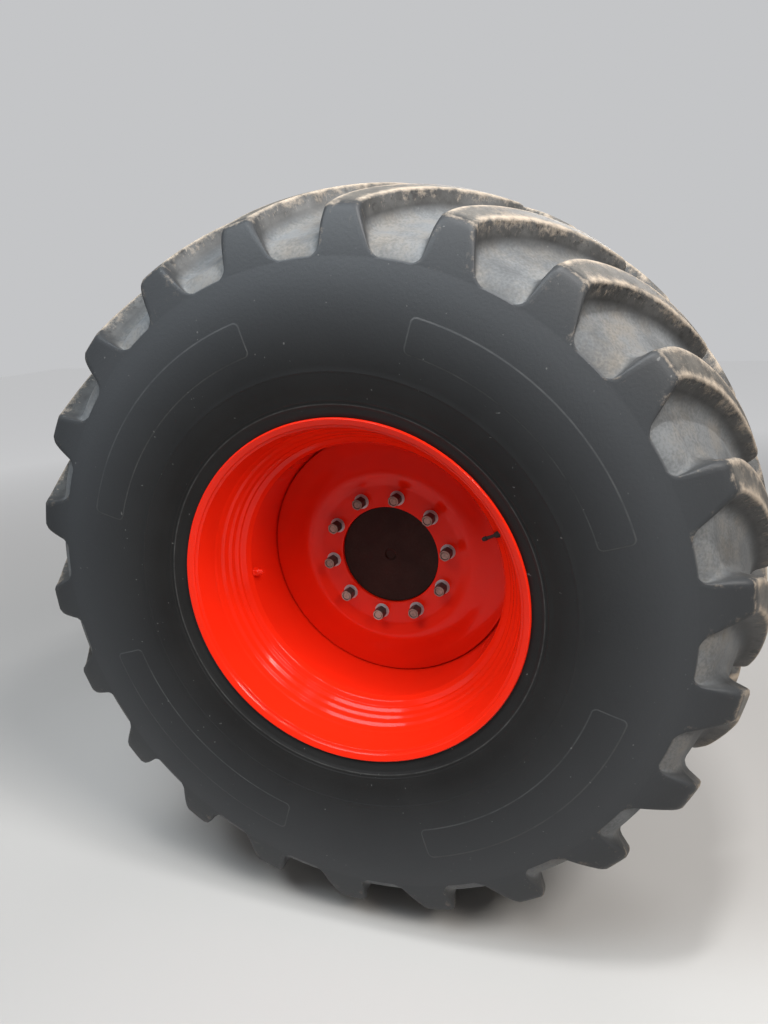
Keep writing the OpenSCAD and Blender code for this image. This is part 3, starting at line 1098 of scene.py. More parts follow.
@dataclass
class RimShape:
    """Section of the rim: a rolled sheet with stepped sides, an outer lip and a plain well.

    The steps are insets from the rim's edge and rises over the flange, the seat or the well.
    """

    place: WheelFrame
    thickness: float = 8.0
    flange_r: float = 434.0
    seat_r: float = 403.0
    well_r: float = 345.0
    bead_gap: float = 0.3
    lip: tuple[Pair, ...] = ((0.0, -1.0), (2.0, -6.0), (6.0, -15.0))
    bead: tuple[Pair, ...] = ((10.0, 11.0), (18.0, 6.0))
    seat: tuple[Pair, ...] = ((80.0, -2.0), (86.0, -5.0), (99.0, -9.5), (106.0, -16.0))
    upper_slope: tuple[Pair, ...] = ((118.0, 37.0), (125.0, 31.0), (136.0, 28.0), (143.0, 21.0))
    lower_slope: tuple[Pair, ...] = ((149.0, 19.0), (158.0, 7.0), (173.0, 0.0))
    groove: tuple[Pair, ...] = ((9.5, 13.5), (12.5, 14.5), (15.5, 8.0))
    lip_radii: tuple[float, ...] = (3.5, 6.0, 6.0, 2.0, 2.0, 2.0)
    slope_radii: tuple[float, ...] = (4.0,) * 8 + (3.0, 8.0, 10.0)
    edge_radius: float = 4.0

    def corners(self, level: float, steps: tuple[Pair, ...]) -> list[Pair]:
        """Turn insets and rises over a level into radii and offsets."""
        return [(level + rise, self.place.rim_half - inset) for inset, rise in steps]

    def side(self) -> np.ndarray:
        """List the sheet's corners from the lip over the bead's seat to the well.

        Returns:
            Radii and offsets.
        """
        seat = self.corners(self.seat_r, self.bead + self.seat)
        well = self.corners(self.well_r, self.upper_slope + self.lower_slope)
        return np.array(self.corners(self.flange_r, self.lip) + seat + well)

    def bead_line(self) -> np.ndarray:
        """Work out the line on which the tyre's bead lies, just outside the sheet."""
        last = len(self.lip + self.bead) + 1
        return offset_path(self.side()[:last], self.thickness + self.bead_gap)

    def outline(self) -> np.ndarray:
        """Work out the closed, rounded section of the sheet, with a groove inside its lip.

        Returns:
            Radii and offsets.
        """
        side = self.side()
        outer = offset_path(side, self.thickness)
        lip_end = len(self.lip)
        groove = np.array(self.corners(self.seat_r, self.groove))
        inner = np.vstack([side[:lip_end], groove, side[lip_end + len(self.bead) :]])
        mirror = np.array([1.0, -1.0])
        radii = np.array(self.lip_radii + self.slope_radii)
        hidden = np.zeros(len(outer))
        hidden[0] = self.edge_radius
        corners = np.vstack([inner, inner[::-1] * mirror, outer * mirror, outer[::-1]])
        return rounded(corners, np.concatenate([radii, radii[::-1], hidden, hidden[::-1]]), 4)

    def build(self) -> bpy.types.Object:
        """Build the rim."""
        axis = Axis((0.0, self.place.mid_y, 0.0), (0.0, -1.0, 0.0))
        return closed_piece("rolled_rim", axis.turned(self.outline(), 256))


@dataclass
class Tyre:
    """Radial tractor tyre with angled lugs in two rows, set half a pitch apart.

    Each side's tread is one grid. Its columns run around the wheel toward higher angles and cross
    every lug: up its near flank, over its top, down its far flank and over the floor to the next
    lug. Its rows run from the lugs' feet on the sidewall over the shoulder to the middle of the
    tread.
    """

    place: WheelFrame
    rim: RimShape
    lug_count: int = 22
    lug_phase: float = 5.3
    lug_sweep: float = 19.0
    sweep_inset: float = 4.0
    sweep_power: float = 1.6
    lug_h: float = 48.0
    least_rise: float = 3.0
    crown_drop: float = 68.5
    tread_half: float = 350.0
    bulge_r: float = 658.0
    foot_r: float = 774.0
    foot_in: float = 16.0
    # Roundings of a lug's edges and foot
    edge_round: float = 8.0
    tip_round: float = 15.0
    tip_extra: float = 6.0
    tip_spread: float = 14.0
    fillet_at_foot: float = 31.0
    fillet_at_nose: float = 19.0
    edge_share: float = 0.3
    fillet_share: float = 0.55
    draft: float = 0.20
    # Width of a lug: rise over the foot, half width toward higher and toward lower angles
    widths_up: tuple[Point, ...] = (
        (0.0, 47.0, 75.0),
        (4.0, 45.3, 71.8),
        (81.0, 35.0, 33.3),
        (98.0, 30.8, 25.6),
    )
    foot_spread: float = 15.0
    spread_reach: float = 20.0
    bar_w: float = 72.0
    bar_blend: float = 90.0
    slant_limit: float = 1.55
    # Rows of the grid
    side_rows: tuple[float, ...] = (
        0.0, 0.02, 0.05, 0.1, 0.17, 0.25, 0.34, 0.44, 0.54, 0.63, 0.72, 0.79, 0.845
    )
    side_bow: Pair = (1.0, 3.5)
    corner_rows: int = 4
    crown_rows: int = 23
    nose_end: float = 30.0
    # Past the end of the crown: offset, share of a lug's height, evenness of the columns
    nose_rows: tuple[Point, ...] = (
        (27.5, 0.975, 0.0),
        (25.0, 0.88, 0.0),
        (14.0, 0.14, 0.0),
        (10.0, 0.03, 0.0),
        (6.0, 0.0, 0.0),
        (3.0, 0.0, 0.5),
        (0.0, 0.0, 1.0),
    )
    nose_reach: float = 20.0
    seam_blend: float = 80.0
    # Columns of the grid
    over_edge: tuple[float, ...] = (0.0, 0.55, 1.0)
    over_root: tuple[float, ...] = (1.0, 0.7, 0.36, 0.0)
    over_top: tuple[float, ...] = (0.3, 0.5, 0.7)
    top_inset: float = 9.0
    inset_share: float = 0.3
    gap_columns: int = 9
    # Floor between the lugs
    floor_step: float = 4.5
    floor_start: float = 0.6
    floor_bend: Pair = (33.0, 22.5)
    floor_turn: Pair = (75.0, 33.0)
    floor_lean: float = 56.0
    lean_power: float = 1.25
    floor_lag: float = 21.0
    lag_from: float = 200.0
    lag_power: float = 1.5
    # Scuffs and a painted highlight along a lug's edges, column by column from the floor to the
    # middle of its top
    edge_wear_and_highlight_columns: tuple[float, ...] = (0, 0, 0, 0.05, 0.45, 0.8, 1, 0.65, 0.35, 0.25)
    side_wear_and_highlight: float = 0.25
    shoulder_wear_and_highlight: float = 0.55
    shoulder_spread: float = 5.0
    crown_fade: Pair = (1.0, 30.0)
    foot_fade: float = 6.0
    # Under the feet: drop of the radius, evenness of the columns
    under_foot: tuple[Pair, ...] = ((2.0, 0.08), (8.0, 0.4), (17.0, 0.8))
    # Sidewall: radius, width and height of its rings, and the inner wall's radii and insets
    flange_top: Pair = (439.0, 351.0)
    bulge_inset: float = 0.3
    rings: tuple[Point, ...] = ((466.0, 2.0, 1.5), (475.5, 1.3, 0.8), (540.0, 1.3, 0.7))
    toe: tuple[Pair, ...] = ((10.0, 90.0), (41.0, 38.0))
    inner_side: tuple[Pair, ...] = (
        (486.0, 61.0),
        (538.0, 35.5),
        (594.0, 20.5),
        (653.0, 18.5),
        (710.0, 28.5),
        (764.0, 50.5),
    )
    inner_crown: tuple[Pair, ...] = ((805.0, 290.0), (844.0, 180.0), (868.0, 0.0))

    @property
    def pitch(self) -> float:
        """Angle from one lug to the next."""
        return 2 * math.pi / self.lug_count

    @property
    def foot(self) -> Pair:
        """Radius and offset of the lugs' feet."""
        return (self.foot_r, self.place.tyre_half - self.foot_in)

    @property
    def middle_column(self) -> int:
        """Place of the column on a lug's middle line."""
        return len(self.over_edge) + len(self.over_root) + 1 + len(self.over_top) // 2

    def tread_radius(self, offset: np.ndarray) -> np.ndarray:
        """Radius of the lugs' tops: it falls with the square of the offset from the middle."""
        return self.place.tyre_r - self.crown_drop * (offset / self.tread_half) ** 2

    def side_line(self, radius: np.ndarray) -> np.ndarray:
        """Find the sidewall's offsets, on the arc from the lugs' feet past the bulge to the rim.

        Args:
            radius: Radii on the sidewall.

        Returns:
            The offset at each of them.
        """
        bulge = (self.bulge_r, self.place.tyre_half - self.bulge_inset)
        dense = arc(self.foot, bulge, self.flange_top, np.linspace(1, 0, 200))
        return np.interp(radius, dense[:, 0], dense[:, 1])

    def floor_line(self) -> np.ndarray:
        """Work out the floor between the lugs, from their feet to the middle.

        Over the shoulder it is an arc. From there the radius falls with the square of the offset.

        Returns:
            Radii and offsets, in the order of falling offset.
        """
        side = self.foot[1] - self.floor_step
        void_r = self.place.tyre_r - self.lug_h
        start = (self.foot_r + self.floor_start, side)
        bend = (self.foot_r + self.floor_bend[0], side - self.floor_bend[1])
        turn = np.array([void_r - self.floor_turn[0], self.tread_half - self.floor_turn[1]])
        shoulder = arc(start, bend, turn, np.linspace(0, 1, 16))
        offset = np.linspace(turn[1], 0.0, 40)[1:]
        crown_r = void_r - (void_r - turn[0]) * (offset / turn[1]) ** 2
        return np.vstack([shoulder, np.stack([crown_r, offset], axis=1)])

    def top_line(self) -> tuple[np.ndarray, np.ndarray]:
        """Lay out the rows along a lug's top, from its foot over the shoulder to the middle.

        Returns:
            Radii and offsets of the top, and the offsets of the floor under it.
        """
        foot = np.array(self.foot)
        tip = np.array([self.tread_radius(self.tread_half), self.tread_half])
        share = np.array(self.side_rows)
        side = arc(foot, (foot + tip) / 2 + self.side_bow, tip, share)
        inner = self.tread_half - self.tip_round
        offset = np.linspace(inner, self.nose_end, self.crown_rows)
        crown = np.stack([self.tread_radius(offset), offset], axis=1)
        leg = np.array([self.tip_round - 1.0])
        corner_share = np.linspace(0.1, 0.9, self.corner_rows)
        corner = corner_arcs(side[-1:], tip[None], crown[:1], leg, corner_share)[0]
        nose = np.array(self.nose_rows)[:, 0]
        ends = np.stack([np.full(len(nose), crown[-1, 0]), nose], axis=1)
        floor_side = foot[1] - self.floor_step - self.floor_lean * share**self.lean_power
        corner_ends = (floor_side[-1], inner - self.floor_lag)
        floor_corner = np.linspace(*corner_ends, self.corner_rows + 2)[1:-1]
        outward = np.clip((offset - self.lag_from) / (inner - self.lag_from), 0.0, 1.0)
        floor_crown = offset - self.floor_lag * outward**self.lag_power
        top = np.vstack([side, corner, crown, ends])
        return top, np.concatenate([floor_side, floor_corner, floor_crown, nose])

    def widths(self, top: np.ndarray) -> tuple[np.ndarray, np.ndarray]:
        """Find a lug's half widths to both sides of its middle line.

        On the shoulder they narrow from the foot to the tip. Near the foot they widen again by the
        square of the distance to it, which rounds the corners of the floor. On the crown both
        become half the bar.

        Args:
            top: Radii and offsets along the lug's top.

        Returns:
            Half widths toward the higher and toward the lower angle.
        """
        rise = top[:, 0] - self.foot_r
        spread = self.foot_spread * np.clip(1 - rise / self.spread_reach, 0.0, 1.0) ** 2
        to_bar = smooth_step(self.tread_half - top[:, 1], 0.0, self.bar_blend)
        table = np.array(self.widths_up)
        sides = []
        for known in (table[:, 1], table[:, 2]):
            width = np.interp(top[:, 0], self.foot_r + table[:, 0], known) + spread
            sides.append(width + (self.bar_w / 2 - width) * to_bar)
        return sides[0], sides[1]

    def flank(
        self, height: np.ndarray, edge: np.ndarray, fillet: np.ndarray
    ) -> tuple[np.ndarray, np.ndarray]:
        """Work out the flank of a lug from its top edge to the floor.

        An arc rounds the edge, a straight line leans outward by the draft, and a larger arc runs
        out on the floor.

        Args:
            height: Height of the lug at each row.
            edge: Radius of the arc at its top edge.
            fillet: Radius of the arc at its root.

        Returns:
            Distances out from the edge and heights over the floor, rows by columns.
        """
        lean = math.atan(self.draft)
        cos, sin = math.cos(lean), math.sin(lean)
        edge = np.minimum(edge, self.edge_share * height)[:, None]
        root = np.minimum(fillet, self.fillet_share * height)[:, None]
        height = height[:, None]
        width = (root + edge) * cos + (height - edge + edge * sin - root + root * sin) * self.draft
        swing = math.pi / 2 - lean
        over, under = (np.array(part)[None] * swing for part in (self.over_edge, self.over_root))
        out = np.concatenate([edge * np.sin(over), width - root * np.sin(under)], axis=1)
        high, low = height - edge + edge * np.cos(over), root - root * np.cos(under)
        return out, np.concatenate([high, low], axis=1)

    def sweep(self, offset: np.ndarray) -> tuple[np.ndarray, np.ndarray]:
        """Work out how a lug sweeps back over the crown, by a power of the way to the middle.

        Args:
            offset: Offsets of the rows.

        Returns:
            Share of the way to the middle and angle of the lug's middle line.
        """
        reach = self.tread_half - self.sweep_inset
        on_crown = np.arange(len(offset)) >= len(self.side_rows) + self.corner_rows
        along = np.clip((reach - offset) / reach, 0.0, 1.0) * on_crown
        return along, -math.radians(self.lug_sweep) * along**self.sweep_power

    def crossing(
        self, top: np.ndarray, rise: np.ndarray, along: np.ndarray, turn: np.ndarray
    ) -> tuple[np.ndarray, np.ndarray]:
        """Lay out the columns that cross a lug and the floor up to the next one.

        A lug that runs aslant is crossed at a slant: its flanks grow by the root of one plus the
        square of the slope of its middle line.

        Args:
            top: Radii and offsets of the rows.
            rise: Height of the lug at each row.
            along: Share of the way to the middle.
            turn: Angle of the lug's middle line.

        Returns:
            Distances around the wheel from the middle line, and shares of the lug's height.
        """
        at_tip = np.exp(-(((top[:, 1] - self.tread_half) / self.tip_spread) ** 2))
        fillet = self.fillet_at_foot + (self.fillet_at_nose - self.fillet_at_foot) * along
        out, up = self.flank(rise, self.edge_round + self.tip_extra * at_tip, fillet)
        steps = np.linalg.norm(np.diff(top, axis=0), axis=1)
        slope = np.gradient(turn * top[:, 0], np.concatenate([[0.0], np.cumsum(steps)]))
        slant = np.minimum(np.sqrt(1 + slope**2), self.slant_limit)[:, None]
        far, near = (width[:, None] for width in self.widths(top))
        inset = np.minimum(self.top_inset, self.inset_share * (far + near))
        middles = -near + (far + near) * np.array(self.over_top)[None]
        tops = np.concatenate([-near + inset, middles, far - inset], axis=1)
        far_flank, near_flank = far + out * slant, -near - out[:, ::-1] * slant
        gap = near_flank[:, :1] + self.pitch * top[:, :1] - far_flank[:, -1:]
        shares = np.arange(1, self.gap_columns + 1) / (self.gap_columns + 1)
        floors = far_flank[:, -1:] + gap * shares[None]
        up = up / rise[:, None]
        across = np.concatenate([near_flank, tops, far_flank, floors], axis=1)
        levels = [up[:, ::-1], np.ones(tops.shape), up, np.zeros(floors.shape)]
        return across, np.concatenate(levels, axis=1)

    def marks(
        self, top: np.ndarray, turn: np.ndarray, lift: np.ndarray, full: np.ndarray
    ) -> dict[str, np.ndarray]:
        """Work out the values that the finish reads: relief, edge and crown.

        Args:
            top: Radii and offsets of the rows.
            turn: Angle of the lug's middle line.
            lift: Share of the lug's height at each point.
            full: Share of the lug's full height at each row.

        Returns:
            The values at the points, by name.
        """
        half, (past, inside) = self.tread_half, self.crown_fade
        on_crown = smooth_step(-top[:, 1], -half - past, -half + inside)[:, None]
        # Edge: where the finish lays scuffs together with a painted highlight, on the lugs' edges
        # and the shoulder's edge.
        columns = np.array(self.edge_wear_and_highlight_columns)
        profile = np.concatenate([columns, columns[-2::-1], np.zeros(self.gap_columns)])
        edge = profile[None] * (self.side_wear_and_highlight + (1 - self.side_wear_and_highlight) * on_crown) * full
        shoulder = np.exp(-(((top[:, :1] - self.tread_radius(half)) / self.shoulder_spread) ** 2))
        on_side = (turn == 0)[:, None]
        edge = np.maximum(edge, self.shoulder_wear_and_highlight * lift * shoulder * on_side)
        past_foot = smooth_step(top[:, :1], self.foot_r, self.foot_r + self.foot_fade)
        crown = np.maximum(on_crown, (1 - lift) * past_foot)
        return {"relief": lift, "edge": edge, "crown": crown}

    def tread_grid(self) -> tuple[np.ndarray, np.ndarray, np.ndarray, dict[str, np.ndarray]]:
        """Work out one row of lugs as a grid whose first lug's foot is at angle zero.

        Toward the seam at the middle the columns become even, and the seam swings with the cosine
        of the angle, so that both rows of lugs reach past it.

        Returns:
            Radii, offsets and angles of the grid, and the values at its points.
        """
        top, floor_offset = self.top_line()
        line = self.floor_line()
        floor_r = np.interp(-floor_offset, -line[:, 1], line[:, 0])
        floor = np.stack([floor_r, floor_offset], axis=1)
        floor[0] = top[0]
        before_nose = np.tile([0.0, 1.0, 0.0], (len(top) - len(self.nose_rows), 1))
        _, full, even = np.vstack([before_nose, np.array(self.nose_rows)]).T[:, :, None]
        along, turn = self.sweep(top[:, 1])
        rise = np.maximum(np.linalg.norm(top - floor, axis=1), self.least_rise)
        across, lift = self.crossing(top, rise, along, turn)
        lift = lift * full
        columns = across.shape[1]
        pitch_length = self.pitch * top[:, :1]
        level = (np.arange(columns) - self.middle_column)[None] * (pitch_length / columns)
        across = across + (level - across) * even
        radius = floor[:, :1] + (top - floor)[:, :1] * lift
        offset = floor[:, 1:] + (top - floor)[:, 1:] * lift
        angle = turn[:, None] + across / pitch_length * self.pitch
        pull = 1 - smooth_step(offset, 0.0, self.seam_blend)
        wave = np.cos(self.lug_count * (angle + math.radians(self.lug_sweep)))
        offset = offset - self.nose_reach * pull * wave
        copies = np.arange(self.lug_count) * self.pitch
        angle = (angle[:, None, :] + copies[None, :, None]).reshape(len(top), -1)
        radius, offset = (np.tile(part, (1, self.lug_count)) for part in (radius, offset))
        values = self.marks(top, turn, lift, full)
        values = {name: np.tile(value, (1, self.lug_count)) for name, value in values.items()}
        return radius, offset, angle, values

    def wall_line(self) -> np.ndarray:
        """Work out the section of the sidewall, the bead and the inner wall.

        The outside is an arc through the lugs' feet, the widest place and the rim's flange, with
        thin raised rings near the rim.

        Returns:
            Radii and offsets, from below the lugs' feet to the middle of the inside.
        """
        half, rim_half = self.place.tyre_half, self.place.rim_half
        beside = np.array([-2.2, -1.0, 1.0, 2.2])
        near = [beside * width + ring_r for ring_r, width, _ in self.rings]
        plain = np.linspace(self.foot_r - 26.0, 441.0, 20)
        radius = np.sort(np.concatenate([plain, *near]))[::-1]
        offset = self.side_line(radius)
        for ring_r, width, height in self.rings:
            offset = offset + height * (np.abs(radius - ring_r) < 1.4 * width)
        outside = np.stack([radius, offset], axis=1)
        bead = self.rim.bead_line()
        levels = (bead[-1, 0], self.rim.seat_r)
        inside = [(level + r, rim_half - inset) for level, (r, inset) in zip(levels, self.toe)]
        inside += [(r, half - inset) for r, inset in self.inner_side] + list(self.inner_crown)
        return np.vstack([outside, np.array([self.flange_top]), bead, np.array(inside)])

    def build(self) -> bpy.types.Object:
        """Build the tyre: both treads, and walls whose columns become even below the feet.

        Returns:
            The tyre.
        """
        surface = Surface()
        radius, offset, angle, values = self.tread_grid()
        columns = radius.shape[1]
        even = (np.arange(columns) - self.middle_column) * (2 * math.pi / columns)
        wall = self.wall_line()
        drop, relax = np.array(self.under_foot).T[:, :, None]
        below = self.foot_r - drop[:, 0]
        below_angle = angle[0][None] * (1 - relax) + even[None] * relax
        row_r = np.concatenate([radius[:1, 0], below])[:, None]
        row_o = np.concatenate([offset[:1, 0], self.side_line(below)])[:, None]
        rows = np.concatenate([angle[:1], below_angle])
        coarse = even[::2]
        for inboard in (False, True):
            sign = -1.0 if inboard else 1.0
            phase = math.radians(self.lug_phase) + (self.pitch / 2 if inboard else 0.0)
            tread = self.place.points(radius, sign * offset, angle + phase)
            surface.add_grid(tread, flip=inboard, **values)
            side = self.place.points(row_r, sign * row_o, rows + phase)
            surface.add_grid(side, flip=not inboard)
            rest = self.place.points(wall[:, :1], sign * wall[:, 1:], coarse[None] + phase)
            surface.add_halving(side[-1], rest[0], flip=not inboard)
            surface.add_grid(rest, flip=not inboard)
        return surface.build("tyre_casing_and_lugs")


@dataclass
class Disc:
    """Dished disc with a bolt face, a raised ring and a cone, and the weld behind it."""

    place: WheelFrame
    thickness: float = 15.0
    bore_r: float = 138.0
    bolt_face_r: float = 195.0
    crest_r: float = 236.0
    crest_h: float = 10.0
    cone_r: float = 304.0
    cone_h: float = 2.6
    edge_round: float = 2.0
    edge_gap: float = 3.0
    face_steps: int = 13
    weld_leg: float = 12.0
    weld_swell: float = 1.4
    ripple_swell: float = 0.5
    weld_ripples: int = 220

    def face_line(self) -> np.ndarray:
        """Work out the disc's outboard side, where half cosine waves rise to the ring and fall.

        Returns:
            Radii and heights over the bolt face.
        """
        wave = (1 - np.cos(math.pi * np.linspace(0, 1, self.face_steps))) / 2
        up = np.linspace(self.bolt_face_r, self.crest_r, self.face_steps)
        down = np.linspace(self.crest_r, self.cone_r, self.face_steps)
        rise = np.stack([up, self.crest_h * wave], axis=1)
        fall = np.stack([down, self.crest_h + (self.cone_h - self.crest_h) * wave], axis=1)
        edge = [[self.place.disc_edge_r, 0.0]]
        return np.vstack([[[self.bore_r, 0.0]], rise, fall[1:], edge])

    def build_disc(self) -> bpy.types.Object:
        """Build the disc.

        Returns:
            The disc.
        """
        front = self.face_line()
        back = offset_path(front, -self.thickness)
        radii = np.zeros(len(front))
        radii[[0, -1]] = self.edge_round
        outline = rounded(np.vstack([front, back[::-1]]), np.concatenate([radii, radii[::-1]]), 3)
        axis = Axis((0.0, self.place.disc_back_y - self.thickness, 0.0), (0.0, -1.0, 0.0))
        return closed_piece("dished_disc", axis.turned(outline, 256))

    def build_weld(self) -> bpy.types.Object:
        """Build the weld bead, whose face ripples with the sine of many times the angle.

        Returns:
            The bead.
        """
        corner = self.place.disc_edge_r + self.edge_gap
        start = self.place.disc_edge_r - self.weld_leg
        share = np.linspace(0, 1, 9)[:, None]
        angle = round_angles(self.weld_ripples * 4)[None]
        ripple = self.weld_swell + self.ripple_swell * np.sin(self.weld_ripples * angle)
        swell = np.sin(math.pi * share) * ripple
        radius = start + (corner - start) * share - swell
        radius = np.vstack([radius, np.full_like(angle, corner)])
        height = np.vstack([self.weld_leg * share + swell, np.zeros_like(angle)])
        axis = Axis((0.0, self.place.disc_back_y, 0.0), (0.0, 1.0, 0.0))
        return closed_piece("disc_weld_bead", axis.points(radius, height, angle))


@dataclass
class Bolting:
    """Studs, nuts and washers on the disc's bolt face."""

    place: WheelFrame
    disc_t: float
    hub_flange_t: float
    count: int = 10
    circle_r: float = 167.5
    phase: float = 80.0
    stud_r: float = 10.0
    bore_gap: float = 0.3
    stud_chamfer: float = 1.8
    head_w: float = 6.0
    head_t: float = 9.7
    nut_af: float = 28.0
    nut_h: float = 31.0
    washer_r: float = 20.5
    washer_step: float = 2.8
    washer_t: float = 6.0
    washer_gap: float = 0.4

    def axis(self, index: int) -> Axis:
        """Give the axis of a stud.

        Args:
            index: Place of the stud around the disc.

        Returns:
            The axis, with heights counted outboard from the bolt face.
        """
        angle = math.radians(self.phase - index * 360.0 / self.count)
        x, z = self.circle_r * math.cos(angle), self.circle_r * math.sin(angle)
        return Axis((x, self.place.disc_back_y - self.disc_t, z), (0.0, -1.0, 0.0))

    def build_nut(self, index: int) -> bpy.types.Object:
        """Build a nut.

        Its radius is the least of a hexagon's, of a rounding's and of those of the chamfers' cones.

        Args:
            index: Place of the nut around the disc.

        Returns:
            The nut.
        """
        low, high = self.washer_t, self.washer_t + self.nut_h
        bore = self.stud_r + self.bore_gap
        angle = round_angles(72)
        down = np.array([4.5, 3.0, 2.0, 1.0, 0.3, 0.0])
        height = np.concatenate([[low, low + 1.2, low + 3], high - down])
        cone = np.array([0.54, 0.566, 0.9, 0.9, 0.575, 0.55, 0.522, 0.497, 0.475])
        hexagon = np.minimum(hexagon_radius(self.nut_af, angle), self.nut_af * 0.5675)
        outside = np.minimum(hexagon[None], self.nut_af * cone[:, None])
        hole = np.array([bore + 1.4, bore + 1.2, bore + 0.1, bore, bore])[:, None]
        radius = np.vstack([outside, np.broadcast_to(hole, (5, 72))])
        levels = np.concatenate([height, [high, high - 0.1, high - 1.3, high - 1.6, low]])[:, None]
        grid = self.axis(index).points(radius, levels, angle[None])
        return closed_piece(f"hex_nut_{index + 1}", grid, face=levels > high - 0.5)

    def build_washers(self) -> bpy.types.Object:
        """Build all pairs of washers as one piece, the upper of each smaller than the lower.

        Returns:
            The washers.
        """
        surface = Surface()
        inner, half = self.stud_r + self.bore_gap, self.washer_t / 2
        lower = (0.0, half - self.washer_gap, self.washer_r)
        upper = (half, self.washer_t, self.washer_r - self.washer_step)
        for index in range(self.count):
            for low, high, outer in (lower, upper):
                ring = rounded([[inner, low], [outer, low], [outer, high], [inner, high]], 0.7, 2)
                surface.add_grid(self.axis(index).turned(ring, 48), wrap_rows=True)
        return surface.build("washer_pairs")

    def build_studs(self) -> bpy.types.Object:
        """Build all studs as one piece, each a shank with a head behind the hub's flange.

        Returns:
            The studs.
        """
        surface = Surface()
        top = self.washer_t + self.nut_h - 1.0
        back = -(self.disc_t + self.hub_flange_t) - self.bore_gap
        end, head_r, chamfer = back - self.head_t, self.stud_r + self.head_w, self.stud_chamfer
        profile = [(0, top), (self.stud_r - chamfer, top), (self.stud_r, top - chamfer)]
        profile += [(self.stud_r, back), (head_r, back), (head_r, end + 2.0), (head_r - 2.5, end)]
        outline = capped(profile + [(0, end)], 0.8)
        face = outline[:, 1:] > top - 1.9
        for index in range(self.count):
            surface.add_grid(self.axis(index).turned(outline, 40), wrap_rows=True, face=face)
        return surface.build("wheel_stud_set")


@dataclass
class Hub:
    """Hub with a spigot in the disc's bore, a flange behind the disc and a drum, and its seal."""

    place: WheelFrame
    disc_t: float
    recess: float = 8.5
    dimple_r: float = 14.0
    dimple_depth: float = 5.0
    spigot_r: float = 137.7
    flange_r: float = 203.5
    flange_t: float = 28.0
    drum_r: float = 145.0
    drum_fillet: float = 5.5
    bore_r: float = 80.3
    bore_depth: float = 40.0
    seal_t: float = 10.0
    seal_gap: float = 0.3

    @property
    def axis(self) -> Axis:
        """The hub's axis, with heights counted inboard from the disc's inner face."""
        return Axis((0.0, self.place.disc_back_y, 0.0), (0.0, 1.0, 0.0))

    @property
    def rear(self) -> float:
        """Height of the drum's rear end."""
        return self.place.hub_rear_y - self.place.disc_back_y

    def build_hub(self) -> bpy.types.Object:
        """Build the hub.

        Returns:
            The hub.
        """
        front, rear = self.recess - self.disc_t, self.rear
        dimple = front + self.dimple_depth
        profile = [(0.0, dimple), (self.dimple_r, dimple), (self.dimple_r + 2.0, front)]
        profile += [(self.spigot_r, front), (self.spigot_r, 0.0), (self.flange_r, 0.0)]
        profile += [(self.flange_r, self.flange_t), (self.drum_r, self.flange_t)]
        profile += [(self.drum_r, rear), (self.bore_r, rear)]
        profile += [(self.bore_r, self.bore_depth), (0.0, self.bore_depth)]
        radii = [0.0, 1.5, 2.0, 2.5, 0.5, 2.5, 3.0, self.drum_fillet, 3.0, 2.0, 2.0, 0.0]
        outline = rounded(profile, np.array(radii), 4)
        return closed_piece("wheel_hub", self.axis.turned(outline, 192))

    def build_seal(self) -> bpy.types.Object:
        """Build the seal between the hub's drum and the gear case.

        Returns:
            The seal.
        """
        rear = self.rear + self.seal_gap
        inner, outer, lip = self.bore_r + 3.7, self.drum_r - 8.0, rear + self.seal_t
        ring = [(inner, rear), (outer, rear), (outer, lip), (outer - 6, lip), (outer - 9, lip - 3)]
        ring += [(inner + 9, lip - 3), (inner + 6, lip), (inner, lip)]
        return closed_piece("hub_seal_ring", self.axis.turned(rounded(ring, 1.0, 2), 128))


